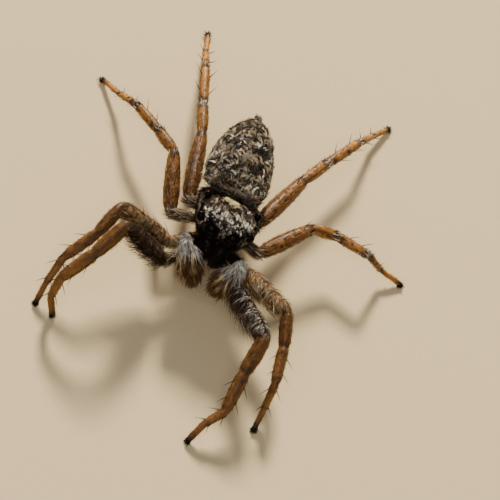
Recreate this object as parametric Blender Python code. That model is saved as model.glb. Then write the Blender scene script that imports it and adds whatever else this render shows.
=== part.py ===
"""A jumping spider at life size, standing still on eight feet.

Lengths are in millimetres until the last step, which turns them to metres.
While the spider is built, x is to its left, y to its rear and z up from the floor,
with y = 0 at its large front eyes. Azimuths are in degrees from straight ahead, positive
towards its left side, and elevations in degrees above the level.
"""
import math
import random

import bmesh
import bpy
from mathutils import Matrix, Vector

METRES_PER_MM = 0.001
SEAM = 0.04  # clear space left between two nodes that meet
WELD = 1e-5  # vertices closer than this are one

# Body sections: distance back, half width, underside height and top height.
CARAPACE = (
    (-0.17, 0.53, 2.26, 2.80),
    (-0.10, 0.75, 2.17, 2.88),
    (0.05, 0.90, 2.06, 2.95),
    (0.45, 1.00, 1.86, 3.02),
    (0.90, 1.07, 1.74, 2.98),
    (1.22, 1.07, 1.70, 2.78),
    (1.55, 0.95, 1.68, 2.46),
    (1.84, 0.72, 1.68, 2.14),
    (2.02, 0.40, 1.70, 1.92),
)
STERNUM = (
    (0.20, 0.22, 1.16, 1.50),
    (0.45, 0.42, 1.06, 1.58),
    (1.10, 0.48, 1.02, 1.60),
    (1.72, 0.40, 1.08, 1.58),
    (1.98, 0.18, 1.24, 1.54),
)
ABDOMEN = (
    (1.48, 0.62, 2.66, 2.80),
    (1.54, 0.86, 2.56, 2.84),
    (1.68, 1.00, 2.41, 2.88),
    (1.96, 1.06, 2.09, 2.90),
    (2.24, 1.08, 1.68, 2.90),
    (2.50, 1.09, 1.42, 2.90),
    (3.00, 1.08, 1.32, 2.88),
    (3.55, 0.99, 1.30, 2.81),
    (4.05, 0.85, 1.36, 2.67),
    (4.50, 0.66, 1.48, 2.46),
    (4.86, 0.42, 1.64, 2.26),
    (5.06, 0.26, 1.74, 2.10),
)
ABDOMEN_TURN = -1.0  # degrees about the upright, where less than 0 swings its tail end to its left
ABDOMEN_PIVOT = Vector((0.0, 2.1, 1.8))
ABDOMEN_SHIFT = Vector((-0.14, 0.0, 0.0))  # the waist bends a little to the right
BODY_SIDES = 24
BODY_SQUARENESS = 2.3  # exponent of the rounded cross sections, 2 is an ellipse

PEDICEL_ENDS = (Vector((-0.03, 2.10, 1.38)), Vector((-0.12, 2.20, 1.59)))
PEDICEL_RADIUS = 0.11
PEDICEL_SWELL = 1.1  # its middle, as a share of that radius
SPINNERET_LINE = (Vector((0.0, 5.15, 1.90)), Vector((0.0, 5.34, 1.85)))
SPINNERET_RADII = ((0.0, 0.18), (0.5, 0.15), (1.0, 0.07))

# Eyes of each side: sideways, back, height and radius.
EYES = {
    "front_middle_eye": (0.365, 0.02, 2.58, 0.305),
    "front_side_eye": (0.845, 0.25, 2.64, 0.160),
    "small_middle_eye": (0.925, 0.64, 2.70, 0.060),
    "rear_side_eye": (0.870, 1.10, 2.66, 0.130),
}
EYE_RINGS = 7
EYE_SIDES = 14
EYE_FACING = (-0.9, 0.25)  # how far an eye's axis points ahead and up for each mm it sits sideways

CHELICERA_TOP = Vector((0.25, 0.05, 2.00))
CHELICERA_FOOT = Vector((0.255, -0.16, 1.30))
CHELICERA_RADII = ((0.0, 0.19), (0.25, 0.225), (0.6, 0.22), (0.9, 0.17), (1.0, 0.11))

# Palps: root, end of the femur and end of the tarsus, for each side.
PALPS = {
    "left": (Vector((0.60, -0.16, 1.86)), Vector((0.90, -0.50, 2.14)), Vector((0.59, -1.30, 1.52))),
    "right": (Vector((-0.60, -0.16, 1.86)), Vector((-0.90, -0.46, 2.14)), Vector((-0.23, -1.24, 1.35))),
}
PALP_FEMUR_RADII = ((0.0, 0.12), (0.5, 0.15), (1.0, 0.13))
PALP_RADII = (
    (-0.10, 0.09), (0.0, 0.18), (0.25, 0.25), (0.5, 0.28), (0.75, 0.27), (0.92, 0.20), (1.0, 0.10),
)

# Legs: length of femur, patella, tibia, metatarsus and tarsus in each pair.
LEG_LENGTHS = {
    1: (2.46, 1.34, 1.34, 0.78, 0.68),
    2: (2.12, 1.20, 1.30, 0.97, 0.66),
    3: (2.18, 1.00, 1.20, 1.09, 0.84),
    4: (2.66, 1.21, 1.69, 1.28, 0.84),
}
# Where each leg leaves the breastplate, and where its femur starts.
LEG_ROOT_Y = {1: -0.06, 2: 0.55, 3: 1.12, 4: 1.62}
LEG_ROOT_HEIGHT = 1.30
STERNUM_REACH = 0.47  # half width of the breastplate where the legs meet it
FEMUR_START = {
    "left": {
        1: Vector((0.95, -0.72, 1.40)),
        2: Vector((1.08, -0.08, 1.40)),
        3: Vector((1.45, 0.74, 1.40)),
        4: Vector((1.09, 1.70, 1.42)),
    },
    "right": {
        1: Vector((-1.26, -1.00, 1.32)),
        2: Vector((-1.28, -0.32, 1.40)),
        3: Vector((-1.62, 0.73, 1.40)),
        4: Vector((-1.23, 1.47, 1.42)),
    },
}
# Azimuth and elevation of femur, patella, tibia and metatarsus, and azimuth of the tarsus,
# whose elevation follows from its foot being on the floor.
LEG_POSES = {
    "left": {
        1: ((40, 15), (-8, -22), (-3, -31), (-38, -22), -25),
        2: ((60, 12), (17, -16), (7, -9), (9, -63), -3),
        3: ((142, 3), (113, -18), (80, 3), (115, -50), 95),
        4: ((159, -2), (153, -3), (152, -7), (156, -33), 149),
    },
    "right": {
        1: ((-72, 43), (-27, -28), (-40, -45), (-1, -70), 60),
        2: ((-87, 23), (-19, -17), (-36, -34), (-12, -38), -3),
        3: ((-164, 7), (-134, -13), (-130, -13), (-138, -40), -131),
        4: ((-173, 0), (-167, -7), (-168, -7), (-178, -35), -173),
    },
}
FEMUR_RADIUS = {1: 0.30, 2: 0.28, 3: 0.29, 4: 0.30}
SHANK_RADIUS = {1: 0.32, 2: 0.28, 3: 0.25, 4: 0.25}  # what the thickness beyond the knee is a share of
COXA_RADIUS = 0.13
FOOT_HEIGHT = 0.115  # centre of a foot's rounded tip above the floor
LEG_SIDES = 10
SIDES = ("left", "right")
PAIRS = (1, 2, 3, 4)
FRINGED_PAIRS = (1, 2)
# Thickness along each segment, as a share of the femur's radius or, beyond it, of the shank's.
COXA_PROFILE = ((0.35, 0.52), (0.64, 0.60))
FEMUR_PROFILE = ((0.0, 0.62), (0.16, 0.88), (0.38, 1.0), (0.68, 0.93), (0.92, 0.76))
PATELLA_PROFILE = ((0.20, 0.78), (0.50, 0.84), (0.88, 0.74))
TIBIA_PROFILE = ((0.12, 0.70), (0.50, 0.72), (0.88, 0.64))
METATARSUS_PROFILE = ((0.10, 0.58), (0.55, 0.48), (0.90, 0.46))
TARSUS_PROFILE = ((0.12, 0.42), (0.70, 0.40))
JOINT_SHARE = {"knee": 0.74, "patella": 0.72, "tibia": 0.64, "metatarsus": 0.44}
FOOT_RADIUS = 0.12
TOE_REACH = 0.8  # length and radius of a foot's tip, as shares of the foot's radius
TOE_SHARE = 0.6
STEEPEST_TARSUS = 0.985  # sine of the steepest slope a tarsus may have
UPRIGHT = 0.2  # a limb whose level part is shorter than this counts as upright

HAIR_SEED = 11
HAIR_CLEARANCE = 0.11  # space kept between a hair's middle line and any other node
# Stretches of point and radius that keep hair off the front body and the abdomen.
HEAD_GUARD = ((Vector((-0.30, 0.70, 2.40)), 0.80), (Vector((0.30, 0.70, 2.40)), 0.80))
ABDOMEN_GUARD = ((Vector((-0.14, 2.60, 2.1)), 1.06), (Vector((-0.10, 4.2, 2.0)), 0.84))

# Flat locks of long hair. A lean is in degrees between the lock and its limb.
LOCK_THICKNESS = 0.08
LOCK_TIP_SHARE = 0.12
LOCK_SINK = 0.10  # how deep a lock's root goes below the surface
LOCK_STATIONS = ((0.0, 1.0), (0.35, 1.0), (0.72, 0.62))  # share along it, share of its width
LOCK_TEST_SHARES = (0.45, 0.7, 1.0)  # where along a lock its clearance is tested
LOCK_BEND = (1.15, 0.6)  # lean at a lock's root and at its tip, as shares of its lean
LOCK_LENGTH_RANGE = (0.82, 1.12)
LOCK_LEAN_RANGE = (0.8, 1.25)
PALP_LOCK = (0.52, 0.20, 42)  # length, width and lean
PALP_LOCK_ROWS = ((0.0, 7), (0.18, 8), (0.36, 8), (0.54, 8), (0.72, 8), (0.86, 6))
PALP_LOCK_ROOT = 0.20  # distance of the roots from the palp's middle line
FRINGE_LOCK = (0.42, 0.15, 30)
FRINGE_SHARES = (0.16, 0.29, 0.42, 0.55, 0.68, 0.81)
FRINGE_SIDES = (-75, -25, 25, 75)  # degrees round the femur from its top
FRINGE_STAGGER = 12  # degrees that every second row is turned by, and the others against it
FRINGE_ROOT = 0.9  # distance of the roots from the middle line, as a share of the radius

# Stiff spines, leaning from their leg by an angle in degrees.
SPINE_RADIUS = 0.045
SPINE_TIP_SHARE = 0.2
SPINE_LEAN = 48
SPINE_SIDES = 5
SPINE_SINK = 0.12  # how far a spine goes on under the skin
SPINE_ROOT = 0.8  # distance of its root from the middle line, as a share of the radius
# Spines of each segment: share along it, degrees round from the top and length.
FEMUR_SPINES = ((0.42, 0, 0.42), (0.62, 12, 0.46), (0.82, -14, 0.42))
TIBIA_SPINES = ((0.25, 70, 0.40), (0.30, -70, 0.40), (0.66, 60, 0.42), (0.70, -62, 0.42))
METATARSUS_SPINES = ((0.16, 75, 0.38), (0.18, -75, 0.38), (0.84, 65, 0.34), (0.86, -65, 0.34))
TIBIA_SHARE = 0.7  # radius of tibia and metatarsus where their spines grow, as shares of the shank's
METATARSUS_SHARE = 0.5

COLOURS = {
    "carapace": ("3A302A", 0.55),
    "sternum": ("4A3A2C", 0.5),
    "abdomen": ("6B6258", 0.8),
    "pedicel": ("4A3826", 0.5),
    "spinnerets": ("6A5640", 0.6),
    "chelicera": ("2A1C14", 0.35),
    "palp": ("A89A88", 0.8),
    "eye": ("070605", 0.05),
    "leg": ("8A5A2C", 0.4),
}


def linear(channel):
    """One sRGB channel from 0 to 1 as linear light."""
    return channel / 12.92 if channel <= 0.04045 else ((channel + 0.055) / 1.055) ** 2.4


def add_material(name, colour_key):
    """A Principled material with the colour and roughness of one kind of surface."""
    hex_colour, roughness = COLOURS[colour_key]
    material = bpy.data.materials.new(name)
    material.use_nodes = True
    shader = material.node_tree.nodes["Principled BSDF"]
    channels = [linear(int(hex_colour[i:i + 2], 16) / 255.0) for i in (0, 2, 4)]
    shader.inputs["Base Color"].default_value = (*channels, 1.0)
    shader.inputs["Roughness"].default_value = roughness
    shader.inputs["Metallic"].default_value = 0.0
    return material


def add_object(name, mesh, colour_key, collection):
    """An object for one node, with a material of its own."""
    thing = bpy.data.objects.new(name, mesh)
    thing.data.materials.append(add_material(name, colour_key))
    collection.objects.link(thing)
    return thing


def direction(azimuth, elevation):
    """Unit vector for an azimuth from straight ahead and an elevation, in degrees."""
    turn = math.radians(azimuth)
    rise = math.radians(elevation)
    return Vector((math.sin(turn) * math.cos(rise), -math.cos(turn) * math.cos(rise), math.sin(rise)))


def loft_mesh(name, rings):
    """A closed mesh through rings of equal count, with a flat cap at each end."""
    mesh = bmesh.new()
    rows = [[mesh.verts.new(point) for point in ring] for ring in rings]
    count = len(rows[0])
    for row, following in zip(rows, rows[1:]):
        for i in range(count):
            j = (i + 1) % count
            mesh.faces.new((row[i], row[j], following[j], following[i]))
    mesh.faces.new(list(reversed(rows[0])))
    mesh.faces.new(rows[-1])
    bmesh.ops.recalc_face_normals(mesh, faces=mesh.faces)
    data = bpy.data.meshes.new(name)
    mesh.to_mesh(data)
    mesh.free()
    data.shade_smooth()
    return data


def body_ring(section):
    """A rounded cross section across the body at one distance back."""
    back, half_width, low, high = section
    middle = (low + high) / 2
    half_height = (high - low) / 2
    ring = []
    for i in range(BODY_SIDES):
        angle = 2 * math.pi * i / BODY_SIDES
        across = math.copysign(abs(math.cos(angle)) ** (2 / BODY_SQUARENESS), math.cos(angle))
        upright = math.copysign(abs(math.sin(angle)) ** (2 / BODY_SQUARENESS), math.sin(angle))
        ring.append(Vector((half_width * across, back, middle + half_height * upright)))
    return ring


def body_solid(name, sections, colour_key, collection):
    """A piece of the body lofted through its cross sections."""
    return add_object(name, loft_mesh(name, [body_ring(row) for row in sections]), colour_key, collection)


def limb_rings(points, radii, start_normal=None, end_normal=None, sides=LEG_SIDES):
    """Rings along a bent limb, each in the plane that halves the bend at its point.

    The first and last planes may be given, so that two limbs meet face to face.
    """
    rings = []
    side = None
    for i, point in enumerate(points):
        before = (point - points[i - 1]).normalized() if i else None
        after = (points[i + 1] - point).normalized() if i + 1 < len(points) else None
        heading = (before or after) + (after or before)
        heading.normalize()
        if i == 0 and start_normal:
            heading = start_normal
        if after is None and end_normal:
            heading = end_normal
        along = after or before
        if side is None:
            side = along.cross(Vector((0, 0, 1)))
            if side.length < 0.1:
                side = along.cross(Vector((0, 1, 0)))
        side = (side - along * side.dot(along)).normalized()
        up = side.cross(along)
        ring = []
        for j in range(sides):
            angle = 2 * math.pi * j / sides
            spoke = (side * math.cos(angle) + up * math.sin(angle)) * radii[i]
            ring.append(point + spoke - along * (spoke.dot(heading) / along.dot(heading)))
        rings.append(ring)
    return rings


def leg_joints(side, pair):
    """Centres of a leg's joints from the breastplate to the foot."""
    start = FEMUR_START[side][pair]
    outward = 1 if side == "left" else -1
    root_level = Vector((0.0, LEG_ROOT_Y[pair], LEG_ROOT_HEIGHT))
    heading = start - root_level
    lean = heading.normalized()
    cap_reach = COXA_RADIUS * math.sqrt(1 - lean.x ** 2)
    root_x = (STERNUM_REACH + SEAM + cap_reach) * outward
    root = Vector((root_x, LEG_ROOT_Y[pair], LEG_ROOT_HEIGHT))
    joints = [root, start]
    lengths = LEG_LENGTHS[pair]
    pose = LEG_POSES[side][pair]
    for length, angles in zip(lengths[:4], pose[:4]):
        joints.append(joints[-1] + direction(*angles) * length)
    drop = (joints[-1].z - FOOT_HEIGHT) / lengths[4]
    tarsus_elevation = -math.degrees(math.asin(min(drop, STEEPEST_TARSUS)))
    foot = joints[-1] + direction(pose[4], tarsus_elevation) * lengths[4]
    foot.z = FOOT_HEIGHT
    joints.append(foot)
    return joints


def along_segment(start, end, profile, radius):
    """Points and radii of one leg segment from its profile."""
    return [(start.lerp(end, share), thickness * radius) for share, thickness in profile]


def halfway_plane(before, joint, after):
    """Unit normal of the plane that halves the bend at a joint."""
    return ((joint - before).normalized() + (after - joint).normalized()).normalized()


def tube_mesh(name, stations, start_normal=None, end_normal=None):
    """A closed tube through stations of point and radius."""
    points = [station[0] for station in stations]
    radii = [station[1] for station in stations]
    return loft_mesh(name, limb_rings(points, radii, start_normal, end_normal))


def add_tube(name, stations, start_normal, end_normal, colour_key, collection):
    """A node that is one tube."""
    return add_object(name, tube_mesh(name, stations, start_normal, end_normal), colour_key, collection)


class Limbs:
    """Centre lines and radii of all pieces, and the middle lines of hair already placed."""

    def __init__(self):
        self.pieces = []
        self.hair = []

    def add(self, node, stations):
        """Remember a piece as tapered lengths between its stations."""
        for (start, radius), (end, end_radius) in zip(stations, stations[1:]):
            self.pieces.append((node, start, end, max(radius, end_radius)))

    def is_clear(self, node, points):
        """Whether a hair of one node stays off every other node and above the floor."""
        for point in points:
            if point.z < HAIR_CLEARANCE:
                return False
            for other, start, end, radius in self.pieces:
                if other != node and distance_to_line(point, start, end) < radius + HAIR_CLEARANCE:
                    return False
            for other, placed in self.hair:
                if other != node and (placed - point).length < 2 * HAIR_CLEARANCE:
                    return False
        return True


def distance_to_line(point, start, end):
    """Distance from a point to the stretch between two others."""
    span = end - start
    share = max(0.0, min(1.0, (point - start).dot(span) / span.length_squared))
    return (point - start - span * share).length


def outward_from(along, around):
    """Outward direction at some degrees round a limb from its top."""
    top = Vector((0, 0, 1)) - along * along.z
    if top.length < UPRIGHT:
        top = Vector((0, 1, 0)) - along * along.y
    turn = Matrix.Rotation(math.radians(around), 3, along)
    return turn @ top.normalized()


def lock_path(root, outward, along, length, lean, shares):
    """Points of a lock that leaves its limb at a lean and bends back to lie along it."""
    at_root, at_tip = LOCK_BEND
    path = []
    for share in shares:
        angle = math.radians(lean * (at_root + (at_tip - at_root) * share))
        path.append(root + (along * math.cos(angle) + outward * math.sin(angle)) * length * share)
    return path


def add_lock(parts, limbs, node, root, outward, along, sizes, draw):
    """A flat tapered lock that starts under the skin and bends to lie along its limb."""
    length, width, lean = sizes
    length *= draw.uniform(*LOCK_LENGTH_RANGE)
    lean *= draw.uniform(*LOCK_LEAN_RANGE)
    shares = [share for share, _ in LOCK_STATIONS] + [1.0]
    path = lock_path(root, outward, along, length, lean, shares)
    samples = lock_path(root, outward, along, length, lean, LOCK_TEST_SHARES)
    if not limbs.is_clear(node, samples):
        return
    limbs.hair.extend((node, point) for point in samples)
    path[0] = root - outward * LOCK_SINK - along * LOCK_SINK
    across = outward.cross(along).normalized()
    rings = []
    for i, (_, share) in enumerate(LOCK_STATIONS):
        heading = (path[i + 1] - path[i]).normalized()
        flat = heading.cross(across).normalized()
        half_width = across * width * share / 2
        half_depth = flat * LOCK_THICKNESS * share / 2
        corners = (half_width, half_depth, -half_width, -half_depth)
        rings.append([path[i] + corner for corner in corners])
    rings.append([path[-1] + (corner - path[-2]) * LOCK_TIP_SHARE for corner in rings[-1]])
    parts.append(loft_mesh("lock", rings))


def add_spine(parts, limbs, node, root, outward, along, length):
    """A straight stiff spine that stands off its leg and tapers to a point."""
    lean = math.radians(SPINE_LEAN)
    heading = along * math.cos(lean) + outward * math.sin(lean)
    tip = root + heading * length
    if not limbs.is_clear(node, [root.lerp(tip, 0.5), tip]):
        return
    limbs.hair.append((node, tip))
    mesh = bmesh.new()
    depth = length + SPINE_SINK
    bmesh.ops.create_cone(mesh, cap_ends=True, segments=SPINE_SIDES, radius1=SPINE_RADIUS,
                          radius2=SPINE_RADIUS * SPINE_TIP_SHARE, depth=depth)
    turn = Vector((0, 0, 1)).rotation_difference(heading).to_matrix().to_4x4()
    middle = root + heading * (length - SPINE_SINK) / 2
    bmesh.ops.transform(mesh, matrix=Matrix.Translation(middle) @ turn, verts=mesh.verts)
    data = bpy.data.meshes.new("spine")
    mesh.to_mesh(data)
    mesh.free()
    parts.append(data)


def mark_as_cutter(thing):
    """Show an object as wires and keep it out of the picture while it shapes another."""
    thing.hide_render = True
    thing.display_type = "WIRE"


def fuse(thing, parts):
    """Join hairs and spines to their node with one union."""
    if not parts:
        return
    group = bpy.data.collections.new("hairs")
    bpy.context.scene.collection.children.link(group)
    for part in parts:
        hair = bpy.data.objects.new("hair", part)
        mark_as_cutter(hair)
        group.objects.link(hair)
    union = thing.modifiers.new("union", "BOOLEAN")
    union.operation = "UNION"
    union.operand_type = "COLLECTION"
    union.collection = group
    union.solver = "MANIFOLD"
    apply_modifiers(thing)
    for piece in list(group.objects):
        bpy.data.objects.remove(piece)
    bpy.data.collections.remove(group)


def grow_spines(thing, limbs, start, end, radius, places):
    """The spines of one leg segment."""
    along = (end - start).normalized()
    parts = []
    for share, around, length in places:
        outward = outward_from(along, around)
        root = start.lerp(end, share) + outward * radius * SPINE_ROOT
        add_spine(parts, limbs, thing.name, root, outward, along, length)
    return parts


def grow_fringe(thing, limbs, start, end, radius, draw):
    """Locks over the top and sides of a front femur."""
    along = (end - start).normalized()
    parts = []
    for row, share in enumerate(FRINGE_SHARES):
        stagger = FRINGE_STAGGER if row % 2 else -FRINGE_STAGGER
        for around in FRINGE_SIDES:
            outward = outward_from(along, around + stagger)
            root = start.lerp(end, share) + outward * radius * FRINGE_ROOT
            add_lock(parts, limbs, thing.name, root, outward, along, FRINGE_LOCK, draw)
    return parts


def grow_palp_locks(thing, limbs, line, draw):
    """The brush of long locks all round a palp, lying towards its tip."""
    _, bend, tip = line
    along = (tip - bend).normalized()
    parts = []
    for row, (share, count) in enumerate(PALP_LOCK_ROWS):
        for i in range(count):
            outward = outward_from(along, 360 * (i + 0.5 * (row % 2)) / count)
            root = bend.lerp(tip, share) + outward * PALP_LOCK_ROOT
            add_lock(parts, limbs, thing.name, root, outward, along, PALP_LOCK, draw)
    return parts


def cut_flat_foot(thing):
    """Cut a foot level with the floor and close the cut."""
    mesh = bmesh.new()
    mesh.from_mesh(thing.data)
    geometry = mesh.verts[:] + mesh.edges[:] + mesh.faces[:]
    cut = bmesh.ops.bisect_plane(
        mesh, geom=geometry, dist=WELD, plane_co=(0, 0, 0), plane_no=(0, 0, -1), clear_outer=True)
    edges = [item for item in cut["geom_cut"] if isinstance(item, bmesh.types.BMEdge)]
    bmesh.ops.contextual_create(mesh, geom=edges)
    bmesh.ops.recalc_face_normals(mesh, faces=mesh.faces)
    mesh.to_mesh(thing.data)
    mesh.free()


def build_leg(side, pair, collection, limbs):
    """Three nodes of one leg, parted at the knee and below the tibia."""
    joints = leg_joints(side, pair)
    coxa, start, knee, patella_end, tibia_end, metatarsus_end, foot = joints
    radius = FEMUR_RADIUS[pair]
    shank = SHANK_RADIUS[pair]
    knee_plane = halfway_plane(start, knee, patella_end)
    ankle_plane = halfway_plane(patella_end, tibia_end, metatarsus_end)
    stations = [(coxa, COXA_RADIUS)]
    stations += along_segment(coxa, start, COXA_PROFILE, radius)
    stations += along_segment(start, knee, FEMUR_PROFILE, radius)
    stations.append((knee - knee_plane * SEAM / 2, JOINT_SHARE["knee"] * shank))
    outward = Vector((math.copysign(1, coxa.x), 0, 0))
    heading = (start - coxa).normalized()
    root_plane = (outward + heading).normalized()
    limbs.add(f"{side}_leg_{pair}_femur", stations)
    add_tube(f"{side}_leg_{pair}_femur", stations, root_plane, knee_plane, "leg", collection)
    stations = [(knee + knee_plane * SEAM / 2, JOINT_SHARE["knee"] * shank)]
    stations += along_segment(knee, patella_end, PATELLA_PROFILE, shank)
    stations.append((patella_end, JOINT_SHARE["patella"] * shank))
    stations += along_segment(patella_end, tibia_end, TIBIA_PROFILE, shank)
    stations.append((tibia_end - ankle_plane * SEAM / 2, JOINT_SHARE["tibia"] * shank))
    limbs.add(f"{side}_leg_{pair}_tibia", stations)
    add_tube(f"{side}_leg_{pair}_tibia", stations, knee_plane, ankle_plane, "leg", collection)
    stations = [(tibia_end + ankle_plane * SEAM / 2, JOINT_SHARE["tibia"] * shank)]
    stations += along_segment(tibia_end, metatarsus_end, METATARSUS_PROFILE, shank)
    stations.append((metatarsus_end, JOINT_SHARE["metatarsus"] * shank))
    stations += along_segment(metatarsus_end, foot, TARSUS_PROFILE, shank)
    toe = (foot - metatarsus_end).normalized()
    stations.append((foot, FOOT_RADIUS))
    stations.append((foot + toe * FOOT_RADIUS * TOE_REACH, FOOT_RADIUS * TOE_SHARE))
    limbs.add(f"{side}_leg_{pair}_foot", stations)
    foot_node = add_tube(f"{side}_leg_{pair}_foot", stations, ankle_plane, None, "leg", collection)
    cut_flat_foot(foot_node)


def dress_leg(side, pair, collection, limbs, draw):
    """Fuse the fringe of the front femora and the spines of every segment into a leg's nodes."""
    _, start, knee, patella_end, tibia_end, metatarsus_end, _ = leg_joints(side, pair)
    radius = FEMUR_RADIUS[pair]
    femur = collection.objects[f"{side}_leg_{pair}_femur"]
    tibia = collection.objects[f"{side}_leg_{pair}_tibia"]
    foot = collection.objects[f"{side}_leg_{pair}_foot"]
    if pair in FRINGED_PAIRS:
        parts = grow_fringe(femur, limbs, start, knee, radius, draw)
    else:
        parts = grow_spines(femur, limbs, start, knee, radius, FEMUR_SPINES)
    fuse(femur, parts)
    tibia_radius = SHANK_RADIUS[pair] * TIBIA_SHARE
    metatarsus_radius = SHANK_RADIUS[pair] * METATARSUS_SHARE
    fuse(tibia, grow_spines(tibia, limbs, patella_end, tibia_end, tibia_radius, TIBIA_SPINES))
    fuse(foot, grow_spines(foot, limbs, tibia_end, metatarsus_end, metatarsus_radius, METATARSUS_SPINES))


def eye_mesh(name, centre, radius):
    """A ball for one eye or its socket."""
    mesh = bmesh.new()
    bmesh.ops.create_uvsphere(mesh, u_segments=EYE_SIDES, v_segments=EYE_RINGS, radius=radius)
    facing = Vector((centre.x, *EYE_FACING)).normalized()
    turn = Vector((0, 0, 1)).rotation_difference(facing).to_matrix().to_4x4()
    bmesh.ops.transform(mesh, matrix=Matrix.Translation(centre) @ turn, verts=mesh.verts)
    data = bpy.data.meshes.new(name)
    mesh.to_mesh(data)
    mesh.free()
    data.shade_smooth()
    return data


def build_eyes(carapace, collection, cutters):
    """Eight eyes, each in a socket cut a seam wider than the eye."""
    for name, (across, back, height, radius) in EYES.items():
        for side, sign in (("left", 1), ("right", -1)):
            centre = Vector((across * sign, back, height))
            node = f"{side}_{name}"
            add_object(node, eye_mesh(node, centre, radius), "eye", collection)
            socket = bpy.data.objects.new(f"{node}_socket", eye_mesh(node, centre, radius + SEAM))
            mark_as_cutter(socket)
            cutters.objects.link(socket)
    cut_with_collection(carapace, cutters)


def cut_with_collection(thing, cutters):
    """Take the cutters away from an object, apply the cut and remove them."""
    modifier = thing.modifiers.new("sockets", "BOOLEAN")
    modifier.operation = "DIFFERENCE"
    modifier.operand_type = "COLLECTION"
    modifier.collection = cutters
    modifier.solver = "EXACT"
    apply_modifiers(thing)
    for cutter in list(cutters.objects):
        bpy.data.objects.remove(cutter)


def apply_modifiers(thing):
    """Replace an object's mesh with what its modifiers make of it."""
    graph = bpy.context.evaluated_depsgraph_get()
    graph.update()
    data = bpy.data.meshes.new_from_object(thing.evaluated_get(graph))
    thing.modifiers.clear()
    thing.data = data
    keep_largest_surface(thing)


def keep_largest_surface(thing):
    """Drop all but the largest closed surface of a mesh."""
    mesh = bmesh.new()
    mesh.from_mesh(thing.data)
    bmesh.ops.remove_doubles(mesh, verts=mesh.verts, dist=WELD)
    left = set(mesh.faces)
    surfaces = []
    while left:
        stack = [left.pop()]
        surface = set(stack)
        while stack:
            for edge in stack.pop().edges:
                for face in edge.link_faces:
                    if face in left:
                        left.discard(face)
                        surface.add(face)
                        stack.append(face)
        surfaces.append(surface)
    surfaces.sort(key=len)
    for surface in surfaces[:-1]:
        bmesh.ops.delete(mesh, geom=list(surface), context="FACES")
    mesh.to_mesh(thing.data)
    mesh.free()


def build_chelicera(side, collection, limbs):
    """One jaw, from under the face down to its fang."""
    sign = 1 if side == "left" else -1
    mirror = Matrix.Diagonal((sign, 1, 1))
    top = mirror @ CHELICERA_TOP
    foot = mirror @ CHELICERA_FOOT
    stations = [(top.lerp(foot, share), radius) for share, radius in CHELICERA_RADII]
    limbs.add(f"{side}_chelicera", stations)
    add_tube(f"{side}_chelicera", stations, None, None, "chelicera", collection)


def build_palp(side, collection, limbs):
    """One palp: a short femur up to its bend, then the length that hangs before the jaws."""
    root, bend, tip = PALPS[side]
    femur = [(root.lerp(bend, share), radius) for share, radius in PALP_FEMUR_RADII]
    stations = [(bend.lerp(tip, share), radius) for share, radius in PALP_RADII]
    limbs.add(f"{side}_palp", femur)
    limbs.add(f"{side}_palp", stations)
    palp = add_tube(f"{side}_palp", stations, None, None, "palp", collection)
    fuse(palp, [tube_mesh("palp_femur", femur)])


def build_pedicel(collection):
    """The narrow waist between the front body and the abdomen."""
    start, end = PEDICEL_ENDS
    middle = start.lerp(end, 0.5)
    stations = [(start, PEDICEL_RADIUS), (middle, PEDICEL_RADIUS * PEDICEL_SWELL), (end, PEDICEL_RADIUS)]
    add_tube("pedicel", stations, None, None, "pedicel", collection)


def build_spinnerets(collection):
    """A short blunt group of spinnerets at the tail end."""
    start, end = [abdomen_turn() @ point for point in SPINNERET_LINE]
    stations = [(start.lerp(end, share), radius) for share, radius in SPINNERET_RADII]
    add_tube("spinnerets", stations, None, None, "spinnerets", collection)


def abdomen_turn():
    """The matrix that swings the abdomen on its pivot."""
    swing = Matrix.Rotation(math.radians(ABDOMEN_TURN), 4, "Z")
    return Matrix.Translation(ABDOMEN_PIVOT + ABDOMEN_SHIFT) @ swing @ Matrix.Translation(-ABDOMEN_PIVOT)


def settle(collection):
    """Turn millimetres to metres and put the origin under the middle of the whole box."""
    corners = [vertex.co for thing in collection.objects for vertex in thing.data.vertices]
    low = Vector([min(corner[axis] for corner in corners) for axis in range(3)])
    high = Vector([max(corner[axis] for corner in corners) for axis in range(3)])
    middle = Vector(((low.x + high.x) / 2, (low.y + high.y) / 2, low.z))
    to_metres = Matrix.Diagonal((METRES_PER_MM, METRES_PER_MM, METRES_PER_MM, 1.0))
    move = to_metres @ Matrix.Translation(-middle)
    for thing in collection.objects:
        thing.data.transform(move)
        thing.data.update()


def main():
    """Build the whole spider."""
    for thing in list(bpy.data.objects):
        bpy.data.objects.remove(thing)
    collection = bpy.data.collections.new("jumping_spider")
    bpy.context.scene.collection.children.link(collection)
    cutters = bpy.data.collections.new("cutters")
    bpy.context.scene.collection.children.link(cutters)
    carapace = body_solid("carapace", CARAPACE, "carapace", collection)
    build_eyes(carapace, collection, cutters)
    body_solid("sternum", STERNUM, "sternum", collection)
    abdomen = body_solid("abdomen", ABDOMEN, "abdomen", collection)
    abdomen.data.transform(abdomen_turn())
    build_pedicel(collection)
    build_spinnerets(collection)
    limbs = Limbs()
    limbs.add("carapace", HEAD_GUARD)
    limbs.add("abdomen", ABDOMEN_GUARD)
    for side in SIDES:
        build_chelicera(side, collection, limbs)
        build_palp(side, collection, limbs)
        for pair in PAIRS:
            build_leg(side, pair, collection, limbs)
    draw = random.Random(HAIR_SEED)
    for side in SIDES:
        palp = collection.objects[f"{side}_palp"]
        fuse(palp, grow_palp_locks(palp, limbs, PALPS[side], draw))
        for pair in PAIRS:
            dress_leg(side, pair, collection, limbs, draw)
    settle(collection)


main()
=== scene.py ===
"""The looks of a life-size jumping spider: skin, eyes, jaws, claws, spines and coat.

Pieces are modelled in millimetres, with x to the spider's left, y to its rear, z up from the
floor and y = 0 at its large front eyes. One last step turns each piece to metres and sets it
in the frame. Azimuths are in degrees from straight ahead, positive towards its left side,
and elevations in degrees above the level.
"""
import math

import bpy
import numpy as np
from mathutils import Matrix, Vector, kdtree


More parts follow.
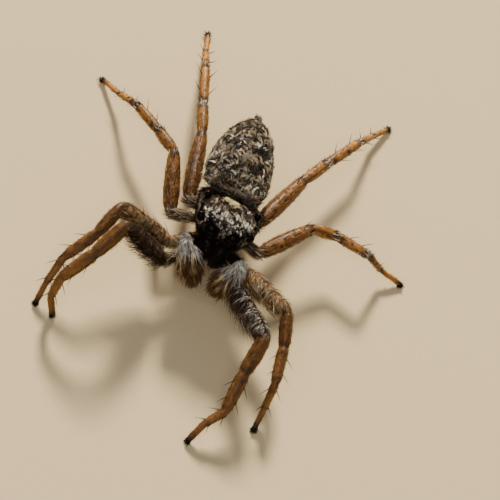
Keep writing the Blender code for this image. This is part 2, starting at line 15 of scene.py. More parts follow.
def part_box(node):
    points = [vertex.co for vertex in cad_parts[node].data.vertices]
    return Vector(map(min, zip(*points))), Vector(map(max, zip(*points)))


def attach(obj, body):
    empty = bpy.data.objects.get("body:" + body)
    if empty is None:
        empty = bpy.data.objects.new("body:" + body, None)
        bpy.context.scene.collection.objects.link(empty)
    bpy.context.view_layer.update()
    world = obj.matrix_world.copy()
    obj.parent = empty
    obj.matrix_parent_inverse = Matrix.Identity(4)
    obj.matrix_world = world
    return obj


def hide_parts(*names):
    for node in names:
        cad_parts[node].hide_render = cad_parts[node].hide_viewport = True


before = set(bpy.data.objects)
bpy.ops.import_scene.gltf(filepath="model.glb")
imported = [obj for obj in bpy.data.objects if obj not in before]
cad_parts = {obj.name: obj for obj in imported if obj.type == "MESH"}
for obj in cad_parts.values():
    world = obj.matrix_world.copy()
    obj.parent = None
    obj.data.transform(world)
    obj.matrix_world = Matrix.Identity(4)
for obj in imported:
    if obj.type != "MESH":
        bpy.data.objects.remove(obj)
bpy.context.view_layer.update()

METRES_PER_MM = 0.001
SIDES = {"left": 1, "right": -1}  # which way each side lies along x
PAIRS = (1, 2, 3, 4)

# The frame's place for the point midway between the large front eyes.
EYE_MIDDLE = Vector((0.0, 0.02, 2.58))

# Camera axes in the spider's frame, found from the photo, and the photo's scale.
CAMERA_RIGHT = Vector((0.9003, 0.2761, 0.3365))
CAMERA_UP = Vector((-0.4191, 0.7586, 0.4989))
PICTURE_WIDTH = 15.625  # mm of the spider's middle plane that the picture's width takes in
PICTURE_PIXELS = 500
EYE_MIDDLE_PIXEL = (222.6, 233.2)
CAMERA_DISTANCE = 0.25  # metres
SENSOR_WIDTH = 36.0

# Body sections: distance back, half width, underside height and top height.
CARAPACE = (
    (-0.15, 0.48, 2.28, 2.76), (-0.08, 0.71, 2.18, 2.84), (0.05, 0.86, 2.08, 2.90),
    (0.45, 0.96, 1.90, 2.97), (0.90, 1.03, 1.78, 2.93), (1.22, 1.03, 1.74, 2.74),
    (1.55, 0.91, 1.72, 2.42), (1.84, 0.68, 1.72, 2.10), (1.98, 0.36, 1.74, 1.90),
)
FACE = (
    (-0.14, 0.36, 2.00, 2.44), (-0.02, 0.66, 1.90, 2.52), (0.30, 0.80, 1.80, 2.60),
    (0.62, 0.72, 1.62, 2.50),
)
UNDERBODY = (
    (0.12, 0.30, 1.30, 2.30), (0.45, 0.66, 1.14, 2.30), (1.10, 0.74, 1.10, 2.30),
    (1.60, 0.62, 1.14, 2.20), (1.95, 0.30, 1.26, 1.90),
)
ABDOMEN = (
    (1.49, 0.62, 2.68, 2.77), (1.54, 0.86, 2.58, 2.81), (1.69, 0.98, 2.44, 2.84),
    (1.98, 1.03, 2.12, 2.86), (2.27, 1.05, 1.72, 2.86), (2.53, 1.06, 1.46, 2.86),
    (3.01, 1.05, 1.36, 2.84), (3.55, 0.96, 1.34, 2.77), (4.04, 0.82, 1.40, 2.63),
    (4.49, 0.63, 1.52, 2.42), (4.85, 0.39, 1.68, 2.22), (5.04, 0.23, 1.78, 2.06),
)
ABDOMEN_TURN = -1.0
ABDOMEN_PIVOT = Vector((0.0, 2.1, 1.8))
ABDOMEN_SHIFT = Vector((-0.14, 0.0, 0.0))
WAIST = (Vector((-0.02, 1.85, 1.62)), Vector((-0.08, 2.05, 1.66)), Vector((0, 2.35, 1.75)))
WAIST_RADII = (0.13, 0.12, 0.16)
# Upper and lower spinnerets: sideways, above the middle ones' root, and how far back the tip is.
SPINNERETS = ((0.07, 0.04, 5.24), (0.06, -0.07, 5.20))
SPINNERET_BACK = 4.92
SPINNERET_HEIGHTS = (1.90, 1.86)  # at root and tip
SPINNERET_RADII = (0.07, 0.055, 0.03)
BODY_SIDES = 28
BODY_PARTS = ("carapace", "underbody", "abdomen")

# Eyes of each side: sideways, back, height and radius.
EYES = {
    "front_middle_eye": (0.365, 0.02, 2.58, 0.305),
    "front_side_eye": (0.845, 0.25, 2.64, 0.160),
    "small_middle_eye": (0.925, 0.64, 2.70, 0.060),
    "rear_side_eye": (0.870, 1.10, 2.66, 0.130),
}

JAW_TOP = Vector((0.25, 0.04, 2.08))
JAW_FOOT = Vector((0.255, -0.17, 1.30))
JAW_RADII = ((0.0, 0.18), (0.2, 0.235), (0.55, 0.24), (0.85, 0.18), (1.0, 0.09))

# Palps: root, end of the femur and end of the tarsus, for each side.
PALPS = {
    "left": (Vector((0.60, -0.16, 1.86)), Vector((0.90, -0.50, 2.14)), Vector((0.59, -1.30, 1.52))),
    "right": (Vector((-0.60, -0.16, 1.86)), Vector((-0.90, -0.46, 2.14)), Vector((-0.23, -1.24, 1.35))),
}
PALP_FEMUR_RADII = ((0.0, 0.10), (0.5, 0.13), (1.0, 0.14))
PALP_RADII = ((0.0, 0.15), (0.25, 0.19), (0.5, 0.21), (0.75, 0.18), (0.92, 0.12), (1.0, 0.06))

# Legs: length of femur, patella, tibia, metatarsus and tarsus in each pair.
LEG_LENGTHS = {
    1: (2.46, 1.34, 1.34, 0.78, 0.68),
    2: (2.12, 1.20, 1.30, 0.97, 0.66),
    3: (2.18, 1.00, 1.20, 1.09, 0.84),
    4: (2.66, 1.21, 1.69, 1.28, 0.84),
}
LEG_ROOT_Y = {1: -0.06, 2: 0.55, 3: 1.12, 4: 1.62}
LEG_ROOT_X = 0.50
LEG_ROOT_HEIGHT = 1.30
FEMUR_START = {
    "left": {
        1: Vector((0.95, -0.72, 1.40)), 2: Vector((1.08, -0.08, 1.40)),
        3: Vector((1.45, 0.74, 1.40)), 4: Vector((1.09, 1.70, 1.42)),
    },
    "right": {
        1: Vector((-1.26, -1.00, 1.32)), 2: Vector((-1.28, -0.32, 1.40)),
        3: Vector((-1.62, 0.73, 1.40)), 4: Vector((-1.23, 1.47, 1.42)),
    },
}
# Azimuth and elevation of femur, patella, tibia and metatarsus, and azimuth of the tarsus.
LEG_POSES = {
    "left": {
        1: ((40, 15), (-8, -22), (-3, -31), (-38, -22), -25),
        2: ((60, 12), (17, -16), (7, -9), (9, -63), -3),
        3: ((142, 3), (113, -18), (80, 3), (115, -50), 95),
        4: ((159, -2), (153, -3), (152, -7), (156, -33), 149),
    },
    "right": {
        1: ((-72, 43), (-27, -28), (-40, -45), (-1, -70), 60),
        2: ((-87, 23), (-19, -17), (-36, -34), (-12, -38), -3),
        3: ((-164, 7), (-134, -13), (-130, -13), (-138, -40), -131),
        4: ((-173, 0), (-167, -7), (-168, -7), (-178, -35), -173),
    },
}
FEMUR_RADIUS = {1: 0.27, 2: 0.25, 3: 0.27, 4: 0.28}
SHANK_RADIUS = {1: 0.30, 2: 0.26, 3: 0.23, 4: 0.23}  # what the thickness beyond the knee is a share of
FOOT_HEIGHT = 0.115
STEEPEST_TARSUS = 0.985
# Thickness of the bare leg along coxa and femur, as a share of the femur's radius.
FEMUR_PROFILES = (
    ((0.0, 0.45), (0.5, 0.55), (0.85, 0.64), (1.0, 0.56)),
    ((0.04, 0.62), (0.14, 0.88), (0.36, 1.0), (0.66, 0.93), (0.90, 0.76), (0.985, 0.60)),
)
# And along patella, tibia, metatarsus and tarsus, as a share of the shank's.
SHANK_PROFILES = (
    ((0.03, 0.64), (0.16, 0.78), (0.50, 0.86), (0.88, 0.76), (1.0, 0.60)),
    ((0.10, 0.72), (0.45, 0.74), (0.86, 0.66), (0.98, 0.50)),
    ((0.08, 0.54), (0.50, 0.49), (0.90, 0.45), (1.0, 0.37)),
    ((0.14, 0.40), (0.70, 0.38), (1.0, 0.34)),
)
STATION_STEP = 0.05
BEND_ROUNDING = 2  # stations on each side that a bend is spread over

SKIN_VOXEL = 0.0407
SKIN_SMOOTHING = 5
COLLAR_SHARE = 0.07  # thickness of the rim round an eye, as a share of its radius

HAIR_SHARE = 1.0
# How many hairs each coat has, on one limb or jaw where there are several.
HAIRS = {
    "head": 17000, "head_curls": 370, "brow": 420, "brow_tuft": 260, "jaw": 1300, "abdomen": 19500,
    "abdomen_curls": 900, "underside": 2500, "palp_brush": 6500, "palp_strands": 340, "leg": 1800,
    "fringe": 620, "toe": 160,
}
HAIR_CORNERS = 3
HAIR_RINGS = 2
LONG_HAIR_RINGS = 3
HAIR_TAPER = ((0.0, 0.4, 1.0), (0.75, 1.0, 0.15))  # shares of length, and width there
HAIR_FLATNESS = 0.55
LENGTH_SPREAD, WIDTH_SPREAD, RISE_SPREAD = 0.18, 0.15, 0.30
STRAND_SPACING = 0.020  # between the hairs of a frayed strand
HAIR_STREAK = 1 / 26  # size of the light and dark streaks in a hair's colour
ROOT_DARKENING = 0.55  # a hair's root is darker than its tip by this factor
FLOOR_CLEARANCE = 0.004
EYE_MARGIN = 0.02  # bare skin round an eye
EYE_CLEARANCE = 0.96  # how much of an eye's radius is kept free of hair
BAKE_PATCH = 0.003  # size of one hair's patch on the coat's UV map
# Unwraps of the body's coats: front end, rear end and height of the middle line.
UNWRAPS = {
    "head": (-0.3, 2.1, 2.2), "brow_tuft": (-0.5, 2.1, 2.2), "abdomen": (1.3, 5.4, 1.95),
    "underside": (0.0, 2.1, 1.6),
}

rng = np.random.default_rng(5)


def linear(hex_colour):
    """An sRGB hex colour as linear light."""
    channels = [int(hex_colour[i:i + 2], 16) / 255 for i in (0, 2, 4)]
    return tuple(c / 12.92 if c <= 0.04045 else ((c + 0.055) / 1.055) ** 2.4 for c in channels)


def tone(hex_colour):
    """A linear colour as an array."""
    return np.array(linear(hex_colour))


# Colours of cuticle and hair.
BODY_CUTICLE = tone("120C09")
# The jaws' near-black is partly their own colour and partly painted shade.
JAW_CUTICLE = tone("1A100A")
AMBER = tone("AA7434")
DARK_AMBER = tone("42260A")
RING_BROWN = tone("241409")
UNDERSIDE = tone("5A432C")
WHITE_HAIR = tone("F4F1EA")
CREAM_HAIR = tone("DCCFAE")
GREY_HAIR = tone("968C7E")
BROWN_HAIR = tone("5E442C")
PINK_HAIR = tone("A8765A")
BLACK_HAIR = tone("0C0907")
YELLOW_HAIR = tone("F2E2A8")
PALP_BROWN = tone("B88A56")
PALP_CREAM = tone("E2C898")
PALP_SKIN = tone("3E2816")
FRONT_LEG_PAINTED_SHADE = 0.4712  # painted shade: how much darker the first two pairs are painted beside the others
# The first pair's dark femur skin is partly its own colour and partly painted shade.
FEMUR_SKIN = {"leg_1": tone("3A2413"), "leg_2": tone("B48854")}
# Each coat's tones, after the limits of the value that picks one of them.
TONES = {
    "head": ((0.55, 1.2), (BLACK_HAIR, BROWN_HAIR * 0.6, GREY_HAIR * 0.7)),
    "head_curls": ((0.10, 0.45, 0.85), (BROWN_HAIR, GREY_HAIR, CREAM_HAIR * 0.9, WHITE_HAIR)),
    "brow": ((0.66, 0.78), (BLACK_HAIR, GREY_HAIR, WHITE_HAIR)),
    "jaw": ((0.6, 0.9), (BLACK_HAIR * 1.3, RING_BROWN, BROWN_HAIR * 0.6)),
    "abdomen": ((0.75, 1.25), (BLACK_HAIR, BROWN_HAIR * 0.5, GREY_HAIR * 0.5)),
    "abdomen_curls": ((0.25, 0.65, 0.95), (BROWN_HAIR * 1.2, GREY_HAIR * 0.9, CREAM_HAIR * 0.85, WHITE_HAIR)),
    "palp_brush": ((0.35,), (RING_BROWN, PALP_BROWN * 0.32)),
    "palp_strands": ((0.30, 0.70), (PALP_BROWN, PALP_CREAM, PALP_CREAM * 1.25)),
    "palp_bend": ((0.30,), (BROWN_HAIR * 0.6, WHITE_HAIR * 0.9)),
    "leg": ((0.15, 0.45, 0.97), (BLACK_HAIR, BROWN_HAIR, AMBER * 0.8, CREAM_HAIR)),
    "coxa": ((0.1, 0.35, 0.7), (RING_BROWN, BROWN_HAIR, GREY_HAIR, CREAM_HAIR)),
    "joint_tuft": ((0.35, 0.55, 0.75), (RING_BROWN, BROWN_HAIR, CREAM_HAIR, WHITE_HAIR)),
    "leg_1_fringe": ((0.6, 0.92), (BROWN_HAIR * 0.30, BROWN_HAIR * 0.8, GREY_HAIR)),
    "leg_2_fringe": ((0.45, 0.8), (BROWN_HAIR * 0.6, PALP_BROWN * 0.8, PALP_CREAM)),
}
# Combs of hair on the first two pairs' femora: how many hairs, and their tones from dark to light.
COMBS = {
    "left_leg_1": (300, (BLACK_HAIR, GREY_HAIR, WHITE_HAIR, WHITE_HAIR)),
    "left_leg_2": (380, (PALP_BROWN, PALP_CREAM, CREAM_HAIR, WHITE_HAIR)),
    # The right pair's tones are darker than the left's: painted shade.
    "right_leg_1": (240, (BROWN_HAIR * 0.5, BROWN_HAIR, GREY_HAIR * 0.8, GREY_HAIR * 0.8)),
    "right_leg_2": (240, (RING_BROWN, PINK_HAIR * 0.8, CREAM_HAIR * 0.8, CREAM_HAIR * 0.8)),
}
COMB_LIMITS = (0.30, 0.50, 0.75)
JOINT_TUFTS = ((2, 0.35), (3, 1.0), (4, 1.0), (5, 0.6))  # a leg's joint, and how thick its tuft is


def direction(azimuth, elevation):
    """Unit vector for an azimuth from straight ahead and an elevation, in degrees."""
    turn, rise = math.radians(azimuth), math.radians(elevation)
    return Vector((math.sin(turn) * math.cos(rise), -math.cos(turn) * math.cos(rise), math.sin(rise)))


def frame_offset():
    """Where the spider's own origin lies in the frame, in metres."""
    corners = [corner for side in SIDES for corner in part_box(f"{side}_front_middle_eye")]
    middle = sum(corners, Vector()) / len(corners)
    return middle - EYE_MIDDLE * METRES_PER_MM


OFFSET = frame_offset()


def to_frame(point):
    """A point in millimetres as a point of the frame in metres."""
    return OFFSET + Vector(point) * METRES_PER_MM


def abdomen_matrix():
    """The swing of the abdomen on the waist."""
    swing = Matrix.Rotation(math.radians(ABDOMEN_TURN), 4, "Z")
    return Matrix.Translation(ABDOMEN_PIVOT + ABDOMEN_SHIFT) @ swing @ Matrix.Translation(-ABDOMEN_PIVOT)


# Camera, lights and floor


def add_camera():
    """A long lens at the photo's viewing angle."""
    towards = CAMERA_RIGHT.cross(CAMERA_UP).normalized()
    mm_per_pixel = PICTURE_WIDTH / PICTURE_PIXELS
    half = PICTURE_PIXELS / 2
    aim = (EYE_MIDDLE + CAMERA_RIGHT * (half - EYE_MIDDLE_PIXEL[0]) * mm_per_pixel
           - CAMERA_UP * (half - EYE_MIDDLE_PIXEL[1]) * mm_per_pixel)
    bpy.ops.object.camera_add(location=to_frame(aim) + towards * CAMERA_DISTANCE)
    camera = bpy.context.object
    camera.rotation_euler = Matrix((CAMERA_RIGHT, CAMERA_UP, towards)).transposed().to_euler()
    camera.data.sensor_width = SENSOR_WIDTH
    camera.data.lens = SENSOR_WIDTH * CAMERA_DISTANCE / (PICTURE_WIDTH * METRES_PER_MM)
    camera.data.clip_start = 0.01
    camera.data.clip_end = 5.0
    bpy.context.scene.camera = camera


def add_softbox(name, azimuth, elevation, distance, size, watts, colour):
    """A square studio light that faces the spider."""
    place = direction(azimuth, elevation)
    bpy.ops.object.light_add(type="AREA", location=to_frame((0, 1.0, 1.0)) + place * distance)
    light = bpy.context.object
    light.name = name
    light.rotation_euler = place.to_track_quat("Z", "Y").to_euler()
    light.data.size = size
    light.data.energy = watts
    light.data.color = linear(colour)


def add_studio():
    """A pale floor, a key light from behind and above, and weak fill all round."""
    bpy.ops.mesh.primitive_plane_add(size=0.6, location=(0, 0, 0))
    floor = bpy.context.object
    floor.name = "floor"
    floor.data.materials.append(floor_material())
    add_softbox("key", -163, 33, 0.30, 0.05, 1.9, "FFF0D8")
    add_softbox("front_fill", -20, 50, 0.35, 0.25, 0.46, "FFF8F0")
    world = bpy.data.worlds.new("studio")
    bpy.context.scene.world = world
    world.use_nodes = True
    background = world.node_tree.nodes["Background"]
    background.inputs["Color"].default_value = (*linear("F2F2F4"), 1.0)
    background.inputs["Strength"].default_value = 0.20


# Materials


def new_material(name, values):
    """A Principled material with these values on its sockets, its node tree and its shader."""
    material = bpy.data.materials.new(name)
    material.use_nodes = True
    shader = material.node_tree.nodes["Principled BSDF"]
    for socket, value in values.items():
        shader.inputs[socket].default_value = value
    return material, material.node_tree, shader


def add_node(tree, kind, settings=None, values=None, links=None):
    """One node with its settings, socket values and incoming links."""
    node = tree.nodes.new(kind)
    for key, value in (settings or {}).items():
        setattr(node, key, value)
    for key, value in (values or {}).items():
        node.inputs[key].default_value = value
    for key, source in (links or {}).items():
        tree.links.new(source, node.inputs[key])
    return node


def floor_material():
    """Matt painted board, pale and even."""
    material, tree, shader = new_material("matt_pale_board", {
        "Base Color": (*linear("E6D2A8"), 1.0), "Roughness": 0.9})
    place = add_node(tree, "ShaderNodeTexCoord").outputs["Object"]
    grain = add_node(tree, "ShaderNodeTexNoise", values={"Scale": 900.0, "Detail": 3.0},
                     links={"Vector": place}).outputs["Fac"]
    bump = add_node(tree, "ShaderNodeBump", values={"Strength": 0.05, "Distance": 0.00005},
                    links={"Height": grain}).outputs["Normal"]
    tree.links.new(bump, shader.inputs["Normal"])
    return material


def varied_shade(tree, grain_mm, detail, spread):
    """The piece's own shade, lighter and darker by a fine grain, and that grain."""
    place = add_node(tree, "ShaderNodeTexCoord").outputs["Object"]
    shade = add_node(tree, "ShaderNodeAttribute", {"attribute_name": "shade"}).outputs["Color"]
    grain = add_node(tree, "ShaderNodeTexNoise",
                     values={"Scale": 1.0 / (grain_mm * METRES_PER_MM), "Detail": detail},
                     links={"Vector": place}).outputs["Fac"]
    factor = add_node(tree, "ShaderNodeMapRange", values={"To Min": 1 - spread, "To Max": 1 + spread},
                      links={"Value": grain}).outputs["Result"]
    colour = add_node(tree, "ShaderNodeVectorMath", {"operation": "MULTIPLY"},
                      links={0: shade, 1: factor}).outputs["Vector"]
    return colour, grain


def cuticle_material(name, roughness, bump_depth, grain_mm, subsurface=0.0):
    """Spider cuticle: chitin that is hard and waxy, with a faint leathery grain."""
    material, tree, shader = new_material(name, {
        "IOR": 1.56, "Specular IOR Level": 0.26, "Subsurface Weight": subsurface,
        "Subsurface Radius": (1.0, 0.55, 0.25), "Subsurface Scale": 0.12 * METRES_PER_MM})
    colour, grain = varied_shade(tree, grain_mm, 4.0, 0.18)
    rough = add_node(tree, "ShaderNodeMapRange",
                     values={"To Min": roughness - 0.08, "To Max": roughness + 0.10},
                     links={"Value": grain}).outputs["Result"]
    bump = add_node(tree, "ShaderNodeBump",
                    values={"Strength": 0.5, "Distance": bump_depth * METRES_PER_MM},
                    links={"Height": grain}).outputs["Normal"]
    for socket, source in (("Base Color", colour), ("Roughness", rough), ("Normal", bump)):
        tree.links.new(source, shader.inputs[socket])
    return material


def hair_material(name, roughness):
    """Spider hair and scales: thin hollow chitin with a silky gloss."""
    material, tree, shader = new_material(name, {
        "Roughness": roughness, "IOR": 1.55, "Specular IOR Level": 0.16})
    tree.links.new(varied_shade(tree, HAIR_STREAK, 2.0, 0.25)[0], shader.inputs["Base Color"])
    return material


def lens_material():
    """Eye lens: clear glossy cuticle over a black retina."""
    material, tree, shader = new_material("eye_lens_cuticle", {
        "Roughness": 0.06, "IOR": 1.34, "Specular IOR Level": 0.12})
    place = add_node(tree, "ShaderNodeTexCoord").outputs["Object"]
    cloud = add_node(tree, "ShaderNodeTexNoise", values={"Scale": 2500.0, "Detail": 1.0},
                     links={"Vector": place}).outputs["Fac"]
    ramp = add_node(tree, "ShaderNodeMix", {"data_type": "RGBA"},
                    values={6: (*linear("040303"), 1.0), 7: (*linear("120B07"), 1.0)}, links={0: cloud})
    tree.links.new(ramp.outputs[2], shader.inputs["Base Color"])
    return material


# Shapes


def deselect():
    """Deselect everything, so that an operator acts only on the new piece."""
    bpy.ops.object.select_all(action="DESELECT")


def activate(piece):
    """Make one piece the only selected one and the active one."""
    deselect()
    piece.select_set(True)
    bpy.context.view_layer.objects.active = piece


def body_form(name, sections):
    """A body shape extruded ring by ring from a circle, then capped and rounded."""
    deselect()
    back, half_width, low, high = sections[0]
    centre = Vector((0, back, (low + high) / 2))
    bpy.ops.mesh.primitive_circle_add(vertices=BODY_SIDES, radius=1.0, fill_type="NGON",
                                      location=centre, rotation=(math.pi / 2, 0, 0))
    form = bpy.context.object
    form.name = name
    bpy.ops.object.transform_apply(location=True, rotation=True, scale=True)
    bpy.ops.object.mode_set(mode="EDIT")
    bpy.ops.mesh.select_all(action="SELECT")
    size = Vector((half_width, 1, (high - low) / 2))
    bpy.ops.transform.resize(value=size, center_override=centre)
    for back, half_width, low, high in sections[1:]:
        following = Vector((0, back, (low + high) / 2))
        wanted = Vector((half_width, 1, (high - low) / 2))
        bpy.ops.mesh.extrude_region_move(TRANSFORM_OT_translate={"value": following - centre})
        growth = Vector((wanted.x / size.x, 1, wanted.z / size.z))
        bpy.ops.transform.resize(value=growth, center_override=following)
        centre, size = following, wanted
    bpy.ops.mesh.select_all(action="SELECT")
    bpy.ops.mesh.normals_make_consistent(inside=False)
    bpy.ops.object.mode_set(mode="OBJECT")
    rounding = form.modifiers.new("rounding", "SUBSURF")
    rounding.levels = rounding.render_levels = 2
    bpy.ops.object.modifier_apply(modifier="rounding")
    return form


def tube_form(name, points, radii, sides=16):
    """A tube of varying thickness along a line of points, as a closed mesh."""
    curve = bpy.data.curves.new(name, "CURVE")
    curve.dimensions = "3D"
    curve.bevel_depth = 1.0
    curve.bevel_resolution = sides // 4 - 1
    curve.use_fill_caps = True
    spline = curve.splines.new("POLY")
    spline.points.add(len(points) - 1)
    for knot, point, radius in zip(spline.points, points, radii):
        knot.co = (*point, 1.0)
        knot.radius = radius
    form = bpy.data.objects.new(name, curve)
    bpy.context.scene.collection.objects.link(form)
    activate(form)
    bpy.ops.object.convert(target="MESH")
    bpy.ops.object.mode_set(mode="EDIT")
    bpy.ops.mesh.select_all(action="SELECT")
    bpy.ops.mesh.remove_doubles(threshold=1e-5)
    bpy.ops.mesh.normals_make_consistent(inside=False)
    bpy.ops.object.mode_set(mode="OBJECT")
    return form


def leg_joints(side, pair):
    """Centres of a leg's joints from the breastplate to the foot."""
    outward = SIDES[side]
    joints = [Vector((LEG_ROOT_X * outward, LEG_ROOT_Y[pair], LEG_ROOT_HEIGHT)), FEMUR_START[side][pair]]
    lengths = LEG_LENGTHS[pair]
    pose = LEG_POSES[side][pair]
    for length, angles in zip(lengths[:4], pose[:4]):
        joints.append(joints[-1] + direction(*angles) * length)
    drop = (joints[-1].z - FOOT_HEIGHT) / lengths[4]
    slope = -math.degrees(math.asin(min(drop, STEEPEST_TARSUS)))
    foot = joints[-1] + direction(pose[4], slope) * lengths[4]
    foot.z = FOOT_HEIGHT
    return joints + [foot]


class Limb:
    """A limb's middle line, thickness and joints, with distances measured along it."""

    def __init__(self, name, joints, profiles):
        self.name = name
        self.side, self.part = name.split("_", 1)
        self.is_palp = self.part == "palp"
        self.rear = self.part in ("leg_3", "leg_4")
        knots = np.array(joints, float)
        spans = np.linalg.norm(np.diff(knots, axis=0), axis=1)
        self.ends = np.concatenate([[0.0], np.cumsum(spans)])
        self.length = self.ends[-1]
        self.along = np.linspace(0, self.length, int(self.length / STATION_STEP) + 1)
        line = np.stack([np.interp(self.along, self.ends, knots[:, axis]) for axis in range(3)], axis=1)
        for _ in range(BEND_ROUNDING):
            line[1:-1] = (line[:-2] + 2 * line[1:-1] + line[2:]) / 4
        self.line = line
        marks = [(self.ends[i] + share * spans[i], radius)
                 for i, profile in enumerate(profiles) for share, radius in profile]
        self.radii = np.interp(self.along, [mark[0] for mark in marks], [mark[1] for mark in marks])
        tangents = np.gradient(line, axis=0)
        self.tangents = tangents / np.linalg.norm(tangents, axis=1)[:, None]

    def form(self):
        """The limb as a tube that bulges at its end."""
        return tube_form(self.name, self.line, self.radii)

    def rings(self, count=8):
        """Points on the limb's surface with their stations."""
        side = np.cross(self.tangents, (0.0, 0.0, 1.0))
        side /= np.linalg.norm(side, axis=1)[:, None] + 1e-9
        up = np.cross(side, self.tangents)
        points, stations = [], []
        for i in range(count):
            angle = 2 * math.pi * i / count
            ring = side * math.cos(angle) + up * math.sin(angle)
            points.append(self.line + ring * self.radii[:, None])
            stations.append(np.arange(len(self.line)))
        return np.concatenate(points), np.concatenate(stations)


def scaled(profiles, radius):
    """Profiles with their thickness in millimetres."""
    return tuple(tuple((share, thickness * radius) for share, thickness in profile) for profile in profiles)


def make_limbs():
    """The eight legs and two palps as limbs."""
    limbs = []
    for side in SIDES:
        for pair in PAIRS:
            joints = leg_joints(side, pair)
            profiles = scaled(FEMUR_PROFILES, FEMUR_RADIUS[pair]) + scaled(SHANK_PROFILES, SHANK_RADIUS[pair])
            limbs.append(Limb(f"{side}_leg_{pair}", joints, profiles))
        limbs.append(Limb(f"{side}_palp", PALPS[side], (PALP_FEMUR_RADII, PALP_RADII)))
    return limbs


def eye_facing(centre):
    """The way an eye looks: ahead, and outward for the side eyes."""
    return Vector((centre.x, -0.9, 0.25)).normalized()


def eye_places():
    """Name, side, centre and radius of all eight eyes."""
    for name, (across, back, height, radius) in EYES.items():
        for side, sign in SIDES.items():
            yield f"{side}_{name}", Vector((across * sign, back, height)), radius


def eye_collars():
    """Raised rims of cuticle round the eyes."""
    collars = []
    for name, centre, radius in eye_places():
        deselect()
        facing = eye_facing(centre)
        bpy.ops.mesh.primitive_torus_add(
            location=centre + facing * radius * 0.05, rotation=facing.to_track_quat("Z", "Y").to_euler(),
            major_radius=radius * 0.98, minor_radius=radius * COLLAR_SHARE,
            major_segments=36, minor_segments=10)
        collars.append(bpy.context.object)
    return collars


def spinneret_forms(turn):
    """Two pairs of short tubes at the tail's end."""
    forms = []
    root_height, tip_height = SPINNERET_HEIGHTS
    for across, rise, reach in SPINNERETS:
        for sign in (-1, 1):
            root = turn @ Vector((across * sign, SPINNERET_BACK, root_height + rise))
            tip = turn @ Vector((across * sign * 1.1, reach, tip_height + rise * 1.4))
            forms.append(tube_form("spinneret_form", (root, root.lerp(tip, 0.7), tip), SPINNERET_RADII))
    return forms


def build_skin(limbs):
    """One skin over body, legs and palps, with no seam, and the points of each body part."""
    turn = abdomen_matrix()
    carapace = body_form("carapace_form", CARAPACE)
    face = body_form("face_form", FACE)
    underbody = body_form("underbody_form", UNDERBODY)
    abdomen = body_form("abdomen_form", ABDOMEN)
    abdomen.data.transform(turn)
    waist = tube_form("waist_form", (*WAIST[:2], turn @ WAIST[2]), WAIST_RADII)
    pieces = [carapace, face, underbody, abdomen, waist, *spinneret_forms(turn)]
    references = {"carapace": np.concatenate([points_of(carapace), points_of(face)]),
                  "underbody": points_of(underbody), "abdomen": points_of(abdomen)}
    pieces += eye_collars()
    pieces += [limb.form() for limb in limbs]
    deselect()
    for piece in pieces:
        piece.select_set(True)
    bpy.context.view_layer.objects.active = carapace
    bpy.ops.object.join()
    skin = bpy.context.object
    skin.name = "skin"
    skin.data.remesh_voxel_size = SKIN_VOXEL
    bpy.ops.object.voxel_remesh()
    smoothing = skin.modifiers.new("smoothing", "SMOOTH")
    smoothing.factor = 0.5
    smoothing.iterations = SKIN_SMOOTHING
    bpy.ops.object.modifier_apply(modifier="smoothing")
    bpy.ops.object.shade_smooth()
    return skin, references


def points_of(piece):
    """The vertices of a mesh as an array."""
    points = np.empty(len(piece.data.vertices) * 3, np.float32)
    piece.data.vertices.foreach_get("co", points)
    return points.reshape(-1, 3).astype(float)


class Surface:
    """The skin's triangles, with the body part and the place along it of every vertex."""

    def __init__(self, skin, references, limbs):
        mesh = skin.data
        self.points = points_of(skin)
        normals = np.empty(len(mesh.vertices) * 3, np.float32)
        mesh.vertex_normals.foreach_get("vector", normals)
        self.normals = normals.reshape(-1, 3).astype(float)
        mesh.calc_loop_triangles()
        triangles = np.empty(len(mesh.loop_triangles) * 3, np.int32)
        mesh.loop_triangles.foreach_get("vertices", triangles)
        self.triangles = triangles.reshape(-1, 3)
        corner = self.points[self.triangles]
        edges = corner[:, 1:] - corner[:, :1]
        self.areas = np.linalg.norm(np.cross(edges[:, 0], edges[:, 1]), axis=1) / 2
        self.limbs = limbs
        self.names = list(BODY_PARTS) + [limb.name for limb in limbs]
        self.label_vertices(references)

    def label_vertices(self, references):
        """Give each vertex its nearest body part and station."""
        clouds, labels, stations = [], [], []
        for i, name in enumerate(BODY_PARTS):
            clouds.append(references[name])
            labels.append(np.full(len(references[name]), i))
            stations.append(np.zeros(len(references[name]), int))
        for i, limb in enumerate(self.limbs):
            points, places = limb.rings()
            clouds.append(points)
            labels.append(np.full(len(points), len(BODY_PARTS) + i))
            stations.append(places)
        cloud, labels, stations = (np.concatenate(part) for part in (clouds, labels, stations))
        tree = kdtree.KDTree(len(cloud))
        for i, point in enumerate(cloud):
            tree.insert(point, i)
        tree.balance()
        nearest = np.array([tree.find(point)[1] for point in self.points])
        self.labels = labels[nearest]
        self.stations = stations[nearest]

    def part(self, name):
        """The number of a body part."""
        return self.names.index(name)

    def sample(self, name, count, weight=None):
        """Random roots on one part, more of them where the weight is greater."""
        first = self.triangles[:, 0]
        chosen = self.labels[first] == self.part(name)
        density = self.areas * chosen
        if weight is not None:
            centres = self.points[self.triangles].mean(axis=1)
            density = density * weight(centres, self.normals[first], self.stations[first] * chosen)
        count = int(count * HAIR_SHARE)
        picks = rng.choice(len(density), count, p=density / density.sum())
        a, b = rng.random((2, count))
        over = a + b > 1
        a[over], b[over] = 1 - a[over], 1 - b[over]
        shares = np.stack([1 - a - b, a, b], axis=1)
        corners = self.triangles[picks]
        points = (self.points[corners] * shares[:, :, None]).sum(axis=1)
        normals = unit((self.normals[corners] * shares[:, :, None]).sum(axis=1))
        return Roots(points, normals, self.stations[corners[:, 0]])


class Roots:
    """Where hairs grow."""

    def __init__(self, points, normals, stations):
        self.points, self.normals, self.stations = points, normals, stations

    def __len__(self):
        return len(self.points)


def unit(vectors):
    """Vectors of length one."""
    return vectors / (np.linalg.norm(vectors, axis=1)[:, None] + 1e-12)


